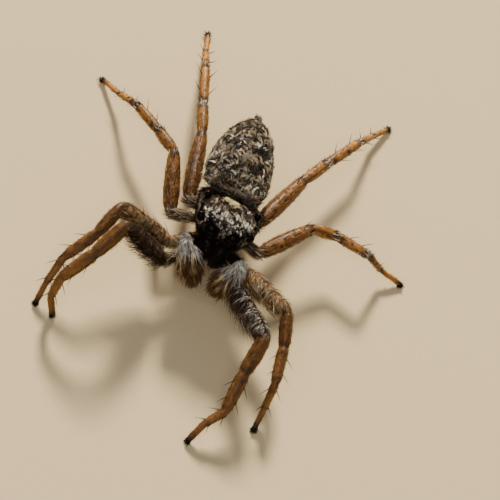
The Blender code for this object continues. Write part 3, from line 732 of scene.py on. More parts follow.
class Ripple:
    """Smooth random mottling: a sum of waves in random directions."""

    def __init__(self, size, seed, stretch=(1.0, 1.0, 1.0), waves=14):
        draw = np.random.default_rng(seed)
        ways = unit(draw.normal(size=(waves, 3)))
        self.waves = ways * draw.uniform(0.7, 1.4, (waves, 1)) * 2 * math.pi / size / np.array(stretch)
        self.phases = draw.uniform(0, 2 * math.pi, waves)

    def __call__(self, points):
        total = np.sin(points @ self.waves.T + self.phases).sum(axis=1)
        return total / math.sqrt(len(self.phases) / 2)


def blend_tones(first, second, share):
    """Mix two colours or colour arrays, by one share or by a share for each row."""
    share = np.clip(share, 0, 1)[..., None]
    return first * (1 - share) + second * share


def bump_at(values, centre, width):
    """One at a value and falling smoothly to nothing around it."""
    return np.exp(-((values - centre) / width) ** 2)


# Markings, shared by skin and coat

HEAD_MOTTLE = Ripple(0.12, 11, (1.0, 2.2, 1.6))
ABDOMEN_MOTTLE = Ripple(0.11, 12, (1.0, 2.0, 1.2))
SWIRL = Ripple(0.24, 16)
ABDOMEN_PATCHES = Ripple(0.75, 13)
LEG_MOTTLE = Ripple(0.35, 14)
LEG_SPECKLE = Ripple(0.09, 17)
LEG_STREAKS = Ripple(0.75, 18)  # over a circle of radius one and a share of the length
REAR_LEG_PAINTED_LIGHT = {"left": 0.22, "right": -0.10}  # painted light and shade: the left rear legs are painted lighter and the right ones darker
HEAD_PATCHES = Ripple(0.30, 15, (1.0, 1.4, 1.4))
HEAD_SPOTS = (((-0.19, 1.12), (0.15, 0.17)), ((-0.02, 0.96), (0.18, 0.16)))  # middle and half sizes
BROW_BACK = 0.34  # how far back the pale brow's middle is
TUFT_REACH = 0.19  # sideways, of the tuft between the front eyes
TUFT_TIP = np.array((-0.035, -0.157, 2.80))
# Dark spots and pale bands of the abdomen: sideways, back and radius.
ABDOMEN_SPOTS = (
    (-0.38, 3.26, 0.24), (0.37, 3.28, 0.25), (-0.42, 2.54, 0.21), (0.44, 2.46, 0.18), (0.02, 3.62, 0.15),
    (-0.75, 2.10, 0.24), (-0.40, 1.75, 0.26), (-0.10, 2.40, 0.12), (0.20, 4.10, 0.13), (-0.35, 4.05, 0.12),
    (0.55, 3.80, 0.13), (0.0, 4.95, 0.14),
)
PALE_BAND = (2.88, 0.13)
TAILWARD = (-math.sin(math.radians(ABDOMEN_TURN)), math.cos(math.radians(ABDOMEN_TURN)), 0.0)


def abdomen_marks(points):
    """How dark or pale the abdomen's coat is, from -1 to 1."""
    local = points - np.array(ABDOMEN_PIVOT + ABDOMEN_SHIFT)
    turn = math.radians(-ABDOMEN_TURN)
    across = local[:, 0] * math.cos(turn) - local[:, 1] * math.sin(turn) + ABDOMEN_PIVOT.x
    back = local[:, 0] * math.sin(turn) + local[:, 1] * math.cos(turn) + ABDOMEN_PIVOT.y
    value = 0.25 * ABDOMEN_PATCHES(points)
    for spot_across, spot_back, size in ABDOMEN_SPOTS:
        value -= 1.3 * np.exp(-((across - spot_across) ** 2 + (back - spot_back) ** 2) / size ** 2)
    value += 0.55 * bump_at(back - 0.25 * across, *PALE_BAND) * (across < 0.25)
    return value


def swirled(way, roots, strength):
    """A lie that swings to and fro across the surface, so that neighbouring hairs curl alike."""
    return way + np.cross(roots.normals, way) * (SWIRL(roots.points) * strength)[:, None]


def pick_tones(value, limits_and_tones):
    """A tone for each value: the first one under the first limit, and so on."""
    limits, tones = limits_and_tones
    return np.array(tones)[np.searchsorted(limits, value, side="right")]


def jitter(count, spread):
    """Random factors round one."""
    return np.exp(rng.normal(0, spread, (count, 1)))


def leg_marks(limb, stations, points):
    """How dark a leg is along its length: dark rings at the joints and small spots."""
    along = limb.along[stations]
    rings = sum(bump_at(along, limb.ends[i] - 0.10, 0.11) for i in (2, 3, 4, 5))
    rings += 0.8 * bump_at(along, limb.ends[3] + 0.20, 0.10) + 0.8 * bump_at(along, limb.ends[4] + 0.16, 0.10)
    toe = np.clip((along - limb.ends[6] + 0.30) / 0.25, 0, 1)
    spots = np.clip(LEG_MOTTLE(points) - 1.3, 0, 1) * 0.9
    rings = (rings + spots) * (1.4 if limb.rear else 0.5)
    return np.clip(rings * np.clip(0.8 + 0.4 * LEG_MOTTLE(points * 1.7), 0.45, 1.1) + toe, 0, 1)


def angle_round(limb, points, stations):
    """The angle of points round their limb."""
    tangents = limb.tangents[stations]
    spokes = points - limb.line[stations]
    side = unit(np.cross(tangents, (0.0, 0.0, 1.0)))
    up = np.cross(side, tangents)
    return np.arctan2((spokes * up).sum(axis=1), (spokes * side).sum(axis=1))


def leg_streaks(limb, points, stations):
    """How light a leg's streaks are at points on its skin."""
    angle = angle_round(limb, points, stations)
    return LEG_STREAKS(np.stack([np.cos(angle), np.sin(angle), limb.along[stations] * 0.3], axis=1))


def leg_skin(limb, points, stations):
    """A leg's skin: amber that is darker at its base, mottled and streaked, with dark rings and spots."""
    along = limb.along[stations]
    # rear legs get painted light on the left side and painted shade on the right
    lightness = (1.7 * along / limb.length - 0.30 + 0.14 * LEG_MOTTLE(points) + 0.05 * LEG_SPECKLE(points)
                 + REAR_LEG_PAINTED_LIGHT[limb.side] * limb.rear)
    shades = blend_tones(DARK_AMBER, AMBER, lightness)
    shades = shades * np.clip(1 + 0.24 * leg_streaks(limb, points, stations), 0.45, 1.6)[:, None]
    # painted shade darkens the first two pairs beyond the femur
    if not limb.rear:
        femur = (limb.ends[2] - along) / 0.15
        shades = blend_tones(shades * FRONT_LEG_PAINTED_SHADE, FEMUR_SKIN[limb.part], femur)
    return blend_tones(shades, RING_BROWN, leg_marks(limb, stations, points))


def skin_shades(surface):
    """The skin's colour at every vertex."""
    shades = np.tile(BODY_CUTICLE, (len(surface.points), 1))
    shades[surface.labels == surface.part("underbody")] = UNDERSIDE
    abdomen = surface.labels == surface.part("abdomen")
    value = abdomen_marks(surface.points[abdomen])
    shades[abdomen] = blend_tones(BROWN_HAIR * 0.5, GREY_HAIR * 0.5, 0.5 + value / 2)
    for limb in surface.limbs:
        mask = surface.labels == surface.part(limb.name)
        stations = surface.stations[mask]
        if limb.is_palp:
            # the palp's base is dark brown, partly painted shade under the head
            shades[mask] = blend_tones(RING_BROWN, PALP_SKIN, (limb.along[stations] - limb.ends[1]) / 0.2)
        else:
            shades[mask] = leg_skin(limb, surface.points[mask], stations)
    return shades


def set_shades(mesh, shades):
    """Store a colour for each vertex."""
    attribute = mesh.attributes.new("shade", "FLOAT_COLOR", "POINT")
    colours = np.ones((len(shades), 4), np.float32)
    colours[:, :3] = np.clip(shades, 0, 1)
    attribute.data.foreach_set("color", colours.ravel())


def finish_piece(piece, slot, *nodes):
    """Turn a piece to metres in the frame, and let it ride on the body."""
    piece.data.transform(Matrix.Translation(OFFSET) @ Matrix.Diagonal((*(METRES_PER_MM,) * 3, 1.0)))
    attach(piece, "root")
    if nodes:
        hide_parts(*nodes)


def link_piece(name, mesh, material, slot):
    """Make a joined mesh a finished piece."""
    mesh.materials.append(material)
    mesh.shade_smooth()
    piece = bpy.data.objects.new(name, mesh)
    bpy.context.scene.collection.objects.link(piece)
    finish_piece(piece, slot)


# Hair


def hair_mesh(name, hair, material, slot):
    """One joined mesh of tapering hairs, each closed, with a patch of the UV map for each."""
    count, rings, corners = len(hair["points"]), hair["rings"], HAIR_CORNERS
    shares = np.linspace(0, 1, rings + 1)[:-1]
    width_shares = np.interp(shares, *HAIR_TAPER)
    lie, up = hair["lie"], hair["up"]
    side = np.cross(up, lie)
    length, rise, droop, bend, width = (
        hair[key][:, None] for key in ("length", "rise", "droop", "bend", "width"))

    def middle(share):
        return (hair["points"] + lie * length * share
                + up * length * (rise * share - droop * share ** 2) + side * length * bend * share ** 2)

    verts = np.empty((count, rings * corners + 1, 3))
    shade = np.empty_like(verts)
    for i, (share, wide) in enumerate(zip(shares, width_shares)):
        for k in range(corners):
            angle = 2 * math.pi * k / corners
            spoke = side * math.cos(angle) + up * math.sin(angle) * HAIR_FLATNESS
            verts[:, i * corners + k] = middle(share) + spoke * width * wide / 2
            shade[:, i * corners + k] = hair["root_shade"] * (1 - share) + hair["tip_shade"] * share
    verts[:, -1] = middle(1.0)
    shade[:, -1] = hair["tip_shade"]
    verts[:, :, 2] = np.maximum(verts[:, :, 2], FLOOR_CLEARANCE)
    pattern, patch = hair_pattern(rings, corners)
    mesh = joined_mesh(name, verts, pattern)
    set_shades(mesh, shade.reshape(-1, 3))
    layer = mesh.uv_layers.new(name="OFBake")
    places = hair["uv"][:, None, :] + (patch[None, :, :] - 0.5) * BAKE_PATCH
    layer.data.foreach_set("uv", np.clip(places, 0, 1).astype(np.float32).ravel())
    link_piece(name, mesh, material, slot)


def hair_pattern(rings, corners):
    """Faces of one hair, and each face corner's place in its patch."""
    faces = [tuple(reversed(range(corners)))]
    patch = [(0.0, k / corners) for k in reversed(range(corners))]
    for i in range(rings):
        low, high = i / rings, (i + 1) / rings
        for k in range(corners):
            j = (k + 1) % corners
            if i + 1 < rings:
                faces.append((i * corners + k, i * corners + j, (i + 1) * corners + j, (i + 1) * corners + k))
                patch += [(low, k / corners), (low, (k + 1) / corners),
                          (high, (k + 1) / corners), (high, k / corners)]
            else:
                faces.append((i * corners + k, i * corners + j, rings * corners))
                patch += [(low, k / corners), (low, (k + 1) / corners), (1.0, (k + 0.5) / corners)]
    return faces, np.array(patch)


def joined_mesh(name, verts, pattern):
    """A mesh of many like pieces from an array of their vertices."""
    count, size = verts.shape[:2]
    corners = np.concatenate([np.array(face) for face in pattern])
    sizes = np.array([len(face) for face in pattern])
    loops = (corners[None, :] + (np.arange(count) * size)[:, None]).ravel()
    starts = np.concatenate([[0], np.cumsum(np.tile(sizes, count))[:-1]])
    mesh = bpy.data.meshes.new(name)
    mesh.vertices.add(count * size)
    mesh.vertices.foreach_set("co", verts.astype(np.float32).ravel())
    mesh.loops.add(len(loops))
    mesh.loops.foreach_set("vertex_index", loops.astype(np.int32))
    mesh.polygons.add(len(starts))
    mesh.polygons.foreach_set("loop_start", starts.astype(np.int32))
    mesh.update(calc_edges=True)
    return mesh


def groom(roots, way, shades, uv, length, width, rise, tips=None, rings=HAIR_RINGS, droop=0.5,
          sink=0.02, spread=0.25, bend=0.12):
    """Hair data for roots: way is the lie before it is laid on the skin, and sizes may be arrays."""
    count = len(roots)
    way = unit(way + rng.normal(0, spread, (count, 3)))
    lie = unit(way - roots.normals * (way * roots.normals).sum(axis=1)[:, None])
    length = np.broadcast_to(length, count) * np.exp(rng.normal(0, LENGTH_SPREAD, count))
    rise = np.broadcast_to(rise, count) * np.exp(rng.normal(0, RISE_SPREAD, count))
    return {
        "points": roots.points - roots.normals * sink,
        "lie": lie,
        "up": roots.normals,
        "length": length,
        "width": np.broadcast_to(width, count) * np.exp(rng.normal(0, WIDTH_SPREAD, count)),
        "rise": rise,
        "droop": rise * droop,
        "bend": rng.normal(0, bend, count),
        "root_shade": shades * ROOT_DARKENING,
        "tip_shade": shades if tips is None else tips,
        "uv": uv,
        "rings": rings,
    }


def fray(data):
    """Three hairs side by side for every one, parting a little towards their tips."""
    side = np.cross(data["up"], data["lie"])
    return merge(*[{**data, "points": data["points"] + side * STRAND_SPACING * k,
                    "bend": data["bend"] + 0.05 * k,
                    "length": data["length"] * (1 - 0.07 * abs(k))} for k in (-1, 0, 1)])


def merge(*grooms):
    """Several sets of hair data with equal rings as one."""
    merged = {key: np.concatenate([groom_data[key] for groom_data in grooms])
              for key in grooms[0] if key != "rings"}
    merged["rings"] = grooms[0]["rings"]
    return merged


def unwrap(share, angle):
    """Places on the UV map for shares of a part's length and angles round it."""
    return np.stack([share * 0.96 + 0.02, angle / (2 * math.pi) + 0.5], axis=1)


def body_uv(points, part):
    """An unwrap of a body part's coat: distance back, and angle round its middle line."""
    low, high, middle_height = UNWRAPS[part]
    return unwrap((points[:, 1] - low) / (high - low), np.arctan2(points[:, 2] - middle_height, points[:, 0]))


def limb_uv(limb, roots):
    """An unwrap of a limb's coat: distance along it, and angle round it."""
    return unwrap(limb.along[roots.stations] / limb.length, angle_round(limb, roots.points, roots.stations))


def near_eye(points, margin):
    """Which points lie on or close to an eye."""
    mask = np.zeros(len(points), bool)
    for _, centre, radius in eye_places():
        mask |= np.linalg.norm(points - np.array(centre), axis=1) < radius + margin
    return mask


def before_eye(points):
    """Which points would hide an eye from the front."""
    mask = np.zeros(len(points), bool)
    for _, centre, radius in eye_places():
        facing = np.array(eye_facing(centre))
        offsets = points - np.array(centre)
        depth = offsets @ facing
        aside = np.linalg.norm(offsets - depth[:, None] * facing, axis=1)
        mask |= (depth > -0.2 * radius) & (aside < radius * EYE_CLEARANCE)
    return mask


def clear_eyes(data):
    """Hair data without the hairs whose middle or tip would hide an eye."""
    hidden = np.zeros(len(data["points"]), bool)
    for share in (0.35, 0.7, 1.0):
        rise = data["rise"] * share - data["droop"] * share ** 2
        reach = data["points"] + data["lie"] * (data["length"] * share)[:, None]
        hidden |= before_eye(reach + data["up"] * (data["length"] * rise)[:, None])
    return {key: value if key == "rings" else value[~hidden] for key, value in data.items()}


def grow_head_coat(surface, material):
    """A dense dark coat over the head and thorax, with the pale blobs in the head's middle, and a face and
    cheeks darkened partly by painted shade.
    """
    def weight(points, normals, stations):
        return ~near_eye(points, EYE_MARGIN) * np.where(normals[:, 1] < -0.6, 0.35, 1.0)
    roots = surface.sample("carapace", HAIRS["head"], weight)
    points, normals = roots.points, roots.normals
    # cheek hairs stand dark out of the head's lower sides: painted shade
    cheek = (points[:, 2] < 2.42) & (points[:, 1] < 1.0)
    ahead = np.clip((-normals[:, 1] - 0.45) / 0.25, 0, 1) * (points[:, 1] < 0.25)
    face = np.clip(ahead + (points[:, 2] < 2.25) + cheek, 0, 1)
    value = HEAD_MOTTLE(points) + rng.normal(0, 0.12, len(roots))
    shades = pick_tones(value, TONES["head"])
    rear = bump_at(points[:, 1], 1.55, 0.25) > rng.random(len(roots))
    shades[rear] = blend_tones(shades[rear], PINK_HAIR * 0.6, 0.6)
    shades[head_spot(points)] = YELLOW_HAIR
    # face and cheeks are blended towards black: partly their own dark colour, partly painted shade
    shades = blend_tones(shades, BLACK_HAIR * 1.3, face) * jitter(len(roots), 0.18)
    way = np.stack([points[:, 0] * 0.15, np.ones(len(roots)), np.zeros(len(roots))], axis=1)
    way = swirled(way, roots, 0.35)
    way[face > 0.5] = (0.0, -0.3, -1.0)
    way[cheek, 0] = np.sign(points[cheek, 0]) * 0.5
    back = points[:, 1] > 1.4
    length = np.where(back, 0.42, np.where(face > 0.5, 0.22, 0.20))
    rise = np.where(cheek, 0.8, np.where(back, 0.55, 0.30))
    data = groom(roots, way, shades, body_uv(points, "head"), length=length, width=0.030, rise=rise,
                 droop=0.7, spread=0.22, bend=0.22)
    hair_mesh("coat_head", clear_eyes(data), material, "carapace_hair")


def head_spot(points):
    """The two joined pale blobs in the middle of the head."""
    blobs = [np.linalg.norm((points[:, :2] - np.array(place)) / size, axis=1) < 1 + 0.22 * HEAD_MOTTLE(points)
             for place, size in HEAD_SPOTS]
    return (blobs[0] | blobs[1]) & (points[:, 2] > 2.5)


def grow_head_curls(surface, material):
    """Pale scale hairs in clusters over the dark coat of the head, most of them along the brow."""
    def weight(points, normals, stations):
        brow = bump_at(points[:, 1], BROW_BACK, 0.17)
        clusters = 1.3 * HEAD_MOTTLE(points) + 0.5 * HEAD_PATCHES(points) - 0.5 + 0.7 * brow
        clusters = np.clip(clusters, 0.02, 1.6) * (0.8 + 1.6 * brow)
        clusters = np.where(head_spot(points), 1.8, clusters)
        rear = np.clip((1.55 - points[:, 1]) / 0.3, 0, 1)
        return clusters * rear * (points[:, 2] > 2.62) * ~near_eye(points, EYE_MARGIN)
    roots = surface.sample("carapace", HAIRS["head_curls"], weight)
    points = roots.points
    brow = bump_at(points[:, 1], BROW_BACK, 0.18)
    value = 0.22 + 0.3 * HEAD_PATCHES(points + 3.0) + 0.8 * brow + rng.normal(0, 0.2, len(roots))
    shades = pick_tones(value, TONES["head_curls"])
    shades[head_spot(points)] = YELLOW_HAIR
    shades = shades * jitter(len(roots), 0.15)
    ahead = np.where(points[:, 1] < 0.12, -1.0, 1.0)
    way = np.stack([points[:, 0] * 0.3, ahead, np.zeros(len(roots))], axis=1)
    data = groom(roots, swirled(way, roots, 0.45), shades, body_uv(points, "head"),
                 length=0.19, width=0.024, rise=0.50, droop=0.8, rings=LONG_HAIR_RINGS,
                 spread=0.12, bend=0.35)
    hair_mesh("coat_head_curls", clear_eyes(fray(data)), material, "carapace_hair")


def grow_brow_tufts(surface, material):
    """Longer hairs over the front eyes, and the tuft that points down between them."""
    def weight(points, normals, stations):
        return bump_at(points[:, 1], 0.12, 0.16) * (points[:, 2] > 2.76) * ~near_eye(points, EYE_MARGIN / 2)
    roots = surface.sample("carapace", HAIRS["brow"], weight)
    across = roots.points[:, 0] * 0.3
    way = np.stack([across, np.full(len(roots), -1.0), np.full(len(roots), 0.6)], axis=1)
    shades = pick_tones(rng.random(len(roots)), TONES["brow"])
    brow = groom(roots, way, shades, body_uv(roots.points, "head"),
                 length=0.18, width=0.026, rise=0.7, spread=0.15)
    hair_mesh("coat_brow", merge(clear_eyes(fray(brow)), eye_tuft()), material, "carapace_hair")


def eye_tuft():
    """Pinkish hairs that meet in a point between the front eyes."""
    count = int(HAIRS["brow_tuft"] * HAIR_SHARE)
    across = rng.uniform(-1, 1, count) * TUFT_REACH
    start = np.stack([across, -0.02 + 0.05 * rng.random(count), np.full(count, 2.86)], axis=1)
    way = unit(TUFT_TIP - start)
    up = unit(np.cross(way, np.cross((0.0, -0.6, 0.8), way)))
    shades = blend_tones(PINK_HAIR * 1.2, CREAM_HAIR, 0.6 * rng.random(count)) * jitter(count, 0.2)
    length = np.linalg.norm(TUFT_TIP - start, axis=1) * 0.9
    return groom(Roots(start, up, np.zeros(count, int)), way, shades, body_uv(start, "brow_tuft"),
                 length=length, width=0.03, rise=0.1, spread=0.08, sink=0.0)


def coat_length(points, length):
    """Hair length on the abdomen, shorter round the spinnerets."""
    return length * np.interp(points[:, 1], (4.6, 5.0), (1.0, 0.7))


def grow_abdomen_coat(surface, material):
    """Dense mottled dark hairs that lie towards the tail."""
    roots = surface.sample("abdomen", HAIRS["abdomen"])
    points = roots.points
    value = 0.9 * ABDOMEN_MOTTLE(points) + 0.8 * abdomen_marks(points) + rng.normal(0, 0.12, len(roots))
    shades = pick_tones(value, TONES["abdomen"])
    tail = bump_at(points[:, 1], 4.9, 0.25) > rng.random(len(roots))
    shades[tail] = blend_tones(shades[tail], BROWN_HAIR, 0.6)
    shades[roots.normals[:, 2] < -0.3] = GREY_HAIR * 0.8
    shades = shades * jitter(len(roots), 0.18)
    way = swirled(TAILWARD, roots, 0.45)
    front = roots.normals[:, 1] < -0.35
    way[front] = (0.0, -1.0, -0.3)
    data = groom(roots, way, shades, body_uv(points, "abdomen"),
                 length=coat_length(points, 0.22), width=0.031, rise=np.where(front, 0.9, 0.32),
                 droop=0.7, spread=0.16, bend=0.25)
    hair_mesh("coat_abdomen", data, material, "abdomen_hair")


def grow_abdomen_curls(surface, material):
    """Curled pale scale hairs that stand out of the abdomen's dark coat."""
    def weight(points, normals, stations):
        pale = np.clip(0.38 + 0.9 * ABDOMEN_MOTTLE(points) + 1.8 * abdomen_marks(points), 0.01, 1.8)
        return pale * np.clip(normals[:, 2] + 0.6, 0.1, 1.0)
    roots = surface.sample("abdomen", HAIRS["abdomen_curls"], weight)
    points = roots.points
    value = 0.5 + 0.2 * ABDOMEN_PATCHES(points + 5.0) + rng.normal(0, 0.25, len(roots))
    shades = pick_tones(value, TONES["abdomen_curls"]) * jitter(len(roots), 0.18)
    data = groom(roots, swirled(TAILWARD, roots, 0.8), shades, body_uv(points, "abdomen"),
                 length=coat_length(points, 0.26), width=0.025, rise=0.50, rings=LONG_HAIR_RINGS,
                 droop=0.8, spread=0.15, bend=0.5)
    hair_mesh("coat_abdomen_curls", fray(data), material, "abdomen_hair")


def grow_under_coat(surface, material):
    """Short pale hairs over the breastplate."""
    roots = surface.sample("underbody", HAIRS["underside"])
    shades = blend_tones(GREY_HAIR, BROWN_HAIR, rng.random(len(roots))) * jitter(len(roots), 0.2)
    data = groom(roots, (0.0, 1.0, 0.0), shades, body_uv(roots.points, "underside"),
                 length=0.16, width=0.03, rise=0.4)
    hair_mesh("coat_underside", data, material, "underside_cuticle")


def grow_palp_coat(surface, limb, material):
    """A brush of long hairs, white at the bend and brown with cream strands below."""
    brush = palp_hairs(surface, limb, "palp_brush", width=0.030, rise=0.55)
    strands = fray(palp_hairs(surface, limb, "palp_strands", width=0.022, rise=0.72))
    hair_mesh(f"coat_{limb.name}", merge(brush, strands), material, "palp_hair")


def palp_hairs(surface, limb, kind, width, rise):
    """Hairs of a palp: the dark brush, or the pale strands over it."""
    pale = kind == "palp_strands"
    bend = limb.ends[1]
    roots = surface.sample(limb.name, HAIRS[kind], lambda points, normals, stations: (
        1.0 + 0.9 * pale * bump_at(limb.along[stations], bend, 0.2)))
    share = (limb.along[roots.stations] - bend) / (limb.length - bend)
    value = rng.random(len(roots))
    shades = pick_tones(value, TONES[kind])
    white = bump_at(share, -0.02, 0.18) * (roots.normals[:, 2] > -0.3) > rng.random(len(roots)) * 0.7
    shades[white] = WHITE_HAIR if pale else pick_tones(value[white], TONES["palp_bend"])
    # the palp's base is dark brown, partly painted shade under the head
    shades[share < -0.12] = RING_BROWN
    shades = shades * jitter(len(roots), 0.15)
    tips = blend_tones(shades, PINK_HAIR * 0.8, np.clip(share, 0, 1) * 0.25)
    length = np.interp(share, (-0.5, -0.05, 0.15, 0.6, 1.0), (0.14, 0.26, 0.50, 0.48, 0.22))
    return groom(roots, limb.tangents[roots.stations], shades, limb_uv(limb, roots), length=length,
                 width=width, rise=rise, tips=tips, rings=LONG_HAIR_RINGS, droop=0.55,
                 spread=0.11, bend=0.14)


def jaw_radius(share):
    """A jaw's thickness at shares of its length."""
    return np.interp(share, *zip(*JAW_RADII))


def grow_jaw_coat(material):
    """Dark hairs over the jaws and between them and the palps, their darkness partly painted shade under the
    head.
    """
    grooms = []
    for sign in SIDES.values():
        count = int(HAIRS["jaw"] * HAIR_SHARE)
        mirror = np.array((sign, 1.0, 1.0))
        top, foot = np.array(JAW_TOP) * mirror, np.array(JAW_FOOT) * mirror
        share = rng.random(count)
        angle = rng.uniform(0, 2 * math.pi, count)
        spokes = np.stack([np.cos(angle), np.sin(angle), np.zeros(count)], axis=1)
        points = top + (foot - top) * share[:, None] + spokes * jaw_radius(share)[:, None]
        roots = Roots(points, spokes, np.zeros(count, int))
        # the jaw hairs' dark tones are partly painted shade under the head
        shades = pick_tones(rng.random(count), TONES["jaw"])
        uv = unwrap(share, angle - math.pi)
        grooms.append(groom(roots, (0.0, -0.15, -1.0), shades, uv, length=0.26, width=0.028, rise=0.5))
    hair_mesh("coat_jaws", clear_eyes(merge(*grooms)), material, "jaw_cuticle")


def joint_share(limb, along):
    """How thick the tufts just before a leg's joints are, along its length."""
    return sum(weight * bump_at(along, limb.ends[i] - 0.13, 0.12) for i, weight in JOINT_TUFTS)


def grow_leg_coat(surface, limb, material):
    """Fine hairs along a leg, with tufts by a rear leg's joints and a comb and fringe on a front femur."""
    def weight(points, normals, stations):
        reach = limb.along[stations]
        tufts = 1.6 * limb.rear * joint_share(limb, reach) * (normals[:, 2] > 0)
        return np.where(reach < limb.ends[1], 1.0, 0.4) + tufts
    roots = surface.sample(limb.name, HAIRS["leg"], weight)
    stations = roots.stations
    along = limb.along[stations]
    value = rng.random(len(roots)) - 0.35 * leg_marks(limb, stations, roots.points)
    shades = pick_tones(value, TONES["leg"])
    tuft = joint_share(limb, along) * (roots.normals[:, 2] > 0) * limb.rear > rng.random(len(roots))
    shades[tuft] = pick_tones(rng.random(tuft.sum()), TONES["joint_tuft"])
    coxa = along < limb.ends[1] * 1.05
    shades[coxa] = pick_tones(value[coxa], TONES["coxa"])
    shades = shades * jitter(len(roots), 0.15)
    length = np.interp(along / limb.length, (0.0, 0.5, 0.8, 1.0), (0.18, 0.16, 0.14, 0.12))
    length[coxa] = 0.24
    data = groom(roots, limb.tangents[stations], shades, limb_uv(limb, roots), length=length,
                 width=np.where(coxa, 0.024, 0.018), rise=np.where(tuft, 0.85, 0.5), spread=0.16)
    if not limb.rear:
        data = merge(data, comb_hairs(surface, limb), fringe_hairs(surface, limb))
    hair_mesh(f"coat_{limb.name}", data, material, "leg_cuticle")


def inward_of(limb, stations):
    """Level directions across a limb, towards the spider's middle."""
    return unit(np.cross(limb.tangents[stations], (0.0, 0.0, 1.0))) * SIDES[limb.side]


def inner_share(limb, normals, stations):
    """How far normals on a limb point towards the spider's middle, from -1 to 1."""
    return (normals * inward_of(limb, stations)).sum(axis=1)


def towards_knee(limb, roots):
    """Share of a femur hair's full length, which shrinks towards the knee."""
    return np.interp(limb.ends[2] - limb.along[roots.stations], (0.0, 0.55), (0.35, 1.0))


def comb_hairs(surface, limb):
    """Strands that hang from the crest of a front femur like a comb, most of them pale."""
    def weight(points, normals, stations):
        reach = limb.along[stations]
        ends = (reach > limb.ends[1] * 0.9) & (reach < limb.ends[2] + 0.05)
        ridge = 0.85 * normals[:, 2] - 0.5 * inner_share(limb, normals, stations)
        return ends * np.clip((ridge - 0.55) / 0.25, 0.01, 1)
    count, tones = COMBS[limb.name]
    roots = surface.sample(limb.name, count, weight)
    shades = pick_tones(rng.random(len(roots)), (COMB_LIMITS, tones)) * jitter(len(roots), 0.15)
    forward = 0.5 + 0.15 * LEG_MOTTLE(roots.points)[:, None]
    way = inward_of(limb, roots.stations) + limb.tangents[roots.stations] * forward
    return groom(roots, way, shades, limb_uv(limb, roots), length=0.42 * towards_knee(limb, roots),
                 width=0.024, rise=0.35, tips=blend_tones(shades, tones[0], 0.45), droop=1.1,
                 spread=0.09)


def fringe_hairs(surface, limb):
    """Longer hairs that hang from the sides of a front femur towards its knee."""
    def weight(points, normals, stations):
        reach = limb.along[stations]
        ends = (reach > limb.ends[1]) & (reach < limb.ends[2] - 0.1)
        side = inner_share(limb, normals, stations)
        return ends * (np.clip(side - 0.5, 0, 0.3) + np.clip(-side - 0.5, 0, 0.12))
    roots = surface.sample(limb.name, HAIRS["fringe"], weight)
    shades = pick_tones(rng.random(len(roots)), TONES[f"{limb.part}_fringe"]) * jitter(len(roots), 0.15)
    way = limb.tangents[roots.stations] + np.array((0.0, 0.0, -0.25))
    inner = inner_share(limb, roots.normals, roots.stations) > 0
    length = np.where(inner, 0.50, 0.36) * towards_knee(limb, roots)
    return groom(roots, way, shades, limb_uv(limb, roots), length=length, width=0.022,
                 rise=np.where(inner, 0.75, 0.5), spread=0.10, bend=0.10)


def grow_toe_tufts(legs, material):
    """The dark brush of adhesive hairs under the claws of each foot."""
    tufts = []
    for limb in legs:
        count = int(HAIRS["toe"] * max(HAIR_SHARE, 0.5))
        tip, tangent = limb.line[-1], limb.tangents[-1]
        points = tip + rng.normal(0, 0.035, (count, 3)) - tangent * 0.03
        way = unit(tangent * 0.8 + np.array((0.0, 0.0, -0.7)) + rng.normal(0, 0.35, (count, 3)))
        up = unit(np.cross(way, np.cross((0.01, 0.01, 1.01), way)))
        roots = Roots(points, up, np.full(count, len(limb.line) - 1))
        shades = BLACK_HAIR * 1.4 * jitter(count, 0.3)
        tufts.append(groom(roots, way, shades, limb_uv(limb, roots), length=0.17, width=0.024,
                           rise=0.1, sink=0.0, spread=0.05))
    hair_mesh("toe_tufts", merge(*tufts), material, "leg_cuticle")


# Spines and claws

# Spines of three segments of a leg: share along it, degrees round it from its top, and length.
SPINES = {
    1: ((0.42, 0, 0.40), (0.62, 12, 0.42), (0.82, -14, 0.38)),
    3: ((0.25, 70, 0.40), (0.30, -70, 0.40), (0.66, 60, 0.42), (0.70, -62, 0.42)),
    4: ((0.16, 75, 0.38), (0.18, -75, 0.38), (0.84, 65, 0.34), (0.86, -65, 0.34)),
}
SPINE_LEAN = math.radians(44)
SPIKE_SIDES = 6
SPIKE_STATIONS = ((-0.08, 1.0), (0.25, 0.85), (0.6, 0.55), (1.0, 0.08))  # share of length and of radius
SPIKE_RADIUS = 0.016
CLAW_LENGTH = 0.14
CLAW_SPACING = 0.03  # sideways from the toe's middle, and up
UP = Vector((0, 0, 1))


def outward_from(along, around):
    """Outward direction at some degrees round a limb from its top."""
    top = UP - along * along.z
    if top.length < 0.2:
        top = Vector((0, 1, 0)) - along * along.y
    return Matrix.Rotation(math.radians(around), 3, along) @ top.normalized()


def taper_points(root, heading, bend, length):
    """Rings of a slender spike that bends a little."""
    side = heading.orthogonal().normalized()
    other = heading.cross(side)
    rings = []
    for share, thickness in SPIKE_STATIONS:
        centre = root + heading * length * share + bend * length * share * share
        rings += [centre + (side * math.cos(turn) + other * math.sin(turn)) * SPIKE_RADIUS * thickness
                  for turn in (2 * math.pi * k / SPIKE_SIDES for k in range(SPIKE_SIDES))]
    return np.array(rings)


def link_spikes(name, spikes, material):
    """One joined black mesh of spikes, each closed at both ends."""
    sides, rings = SPIKE_SIDES, len(SPIKE_STATIONS)
    faces = [tuple(reversed(range(sides)))]
    for i in range(rings - 1):
        for k in range(sides):
            j = (k + 1) % sides
            faces.append((i * sides + k, i * sides + j, (i + 1) * sides + j, (i + 1) * sides + k))
    faces.append(tuple(range((rings - 1) * sides, rings * sides)))
    mesh = joined_mesh(name, np.array(spikes), faces)
    set_shades(mesh, np.tile(BLACK_HAIR, (len(mesh.vertices), 1)))
    link_piece(name, mesh, material, "leg_cuticle")


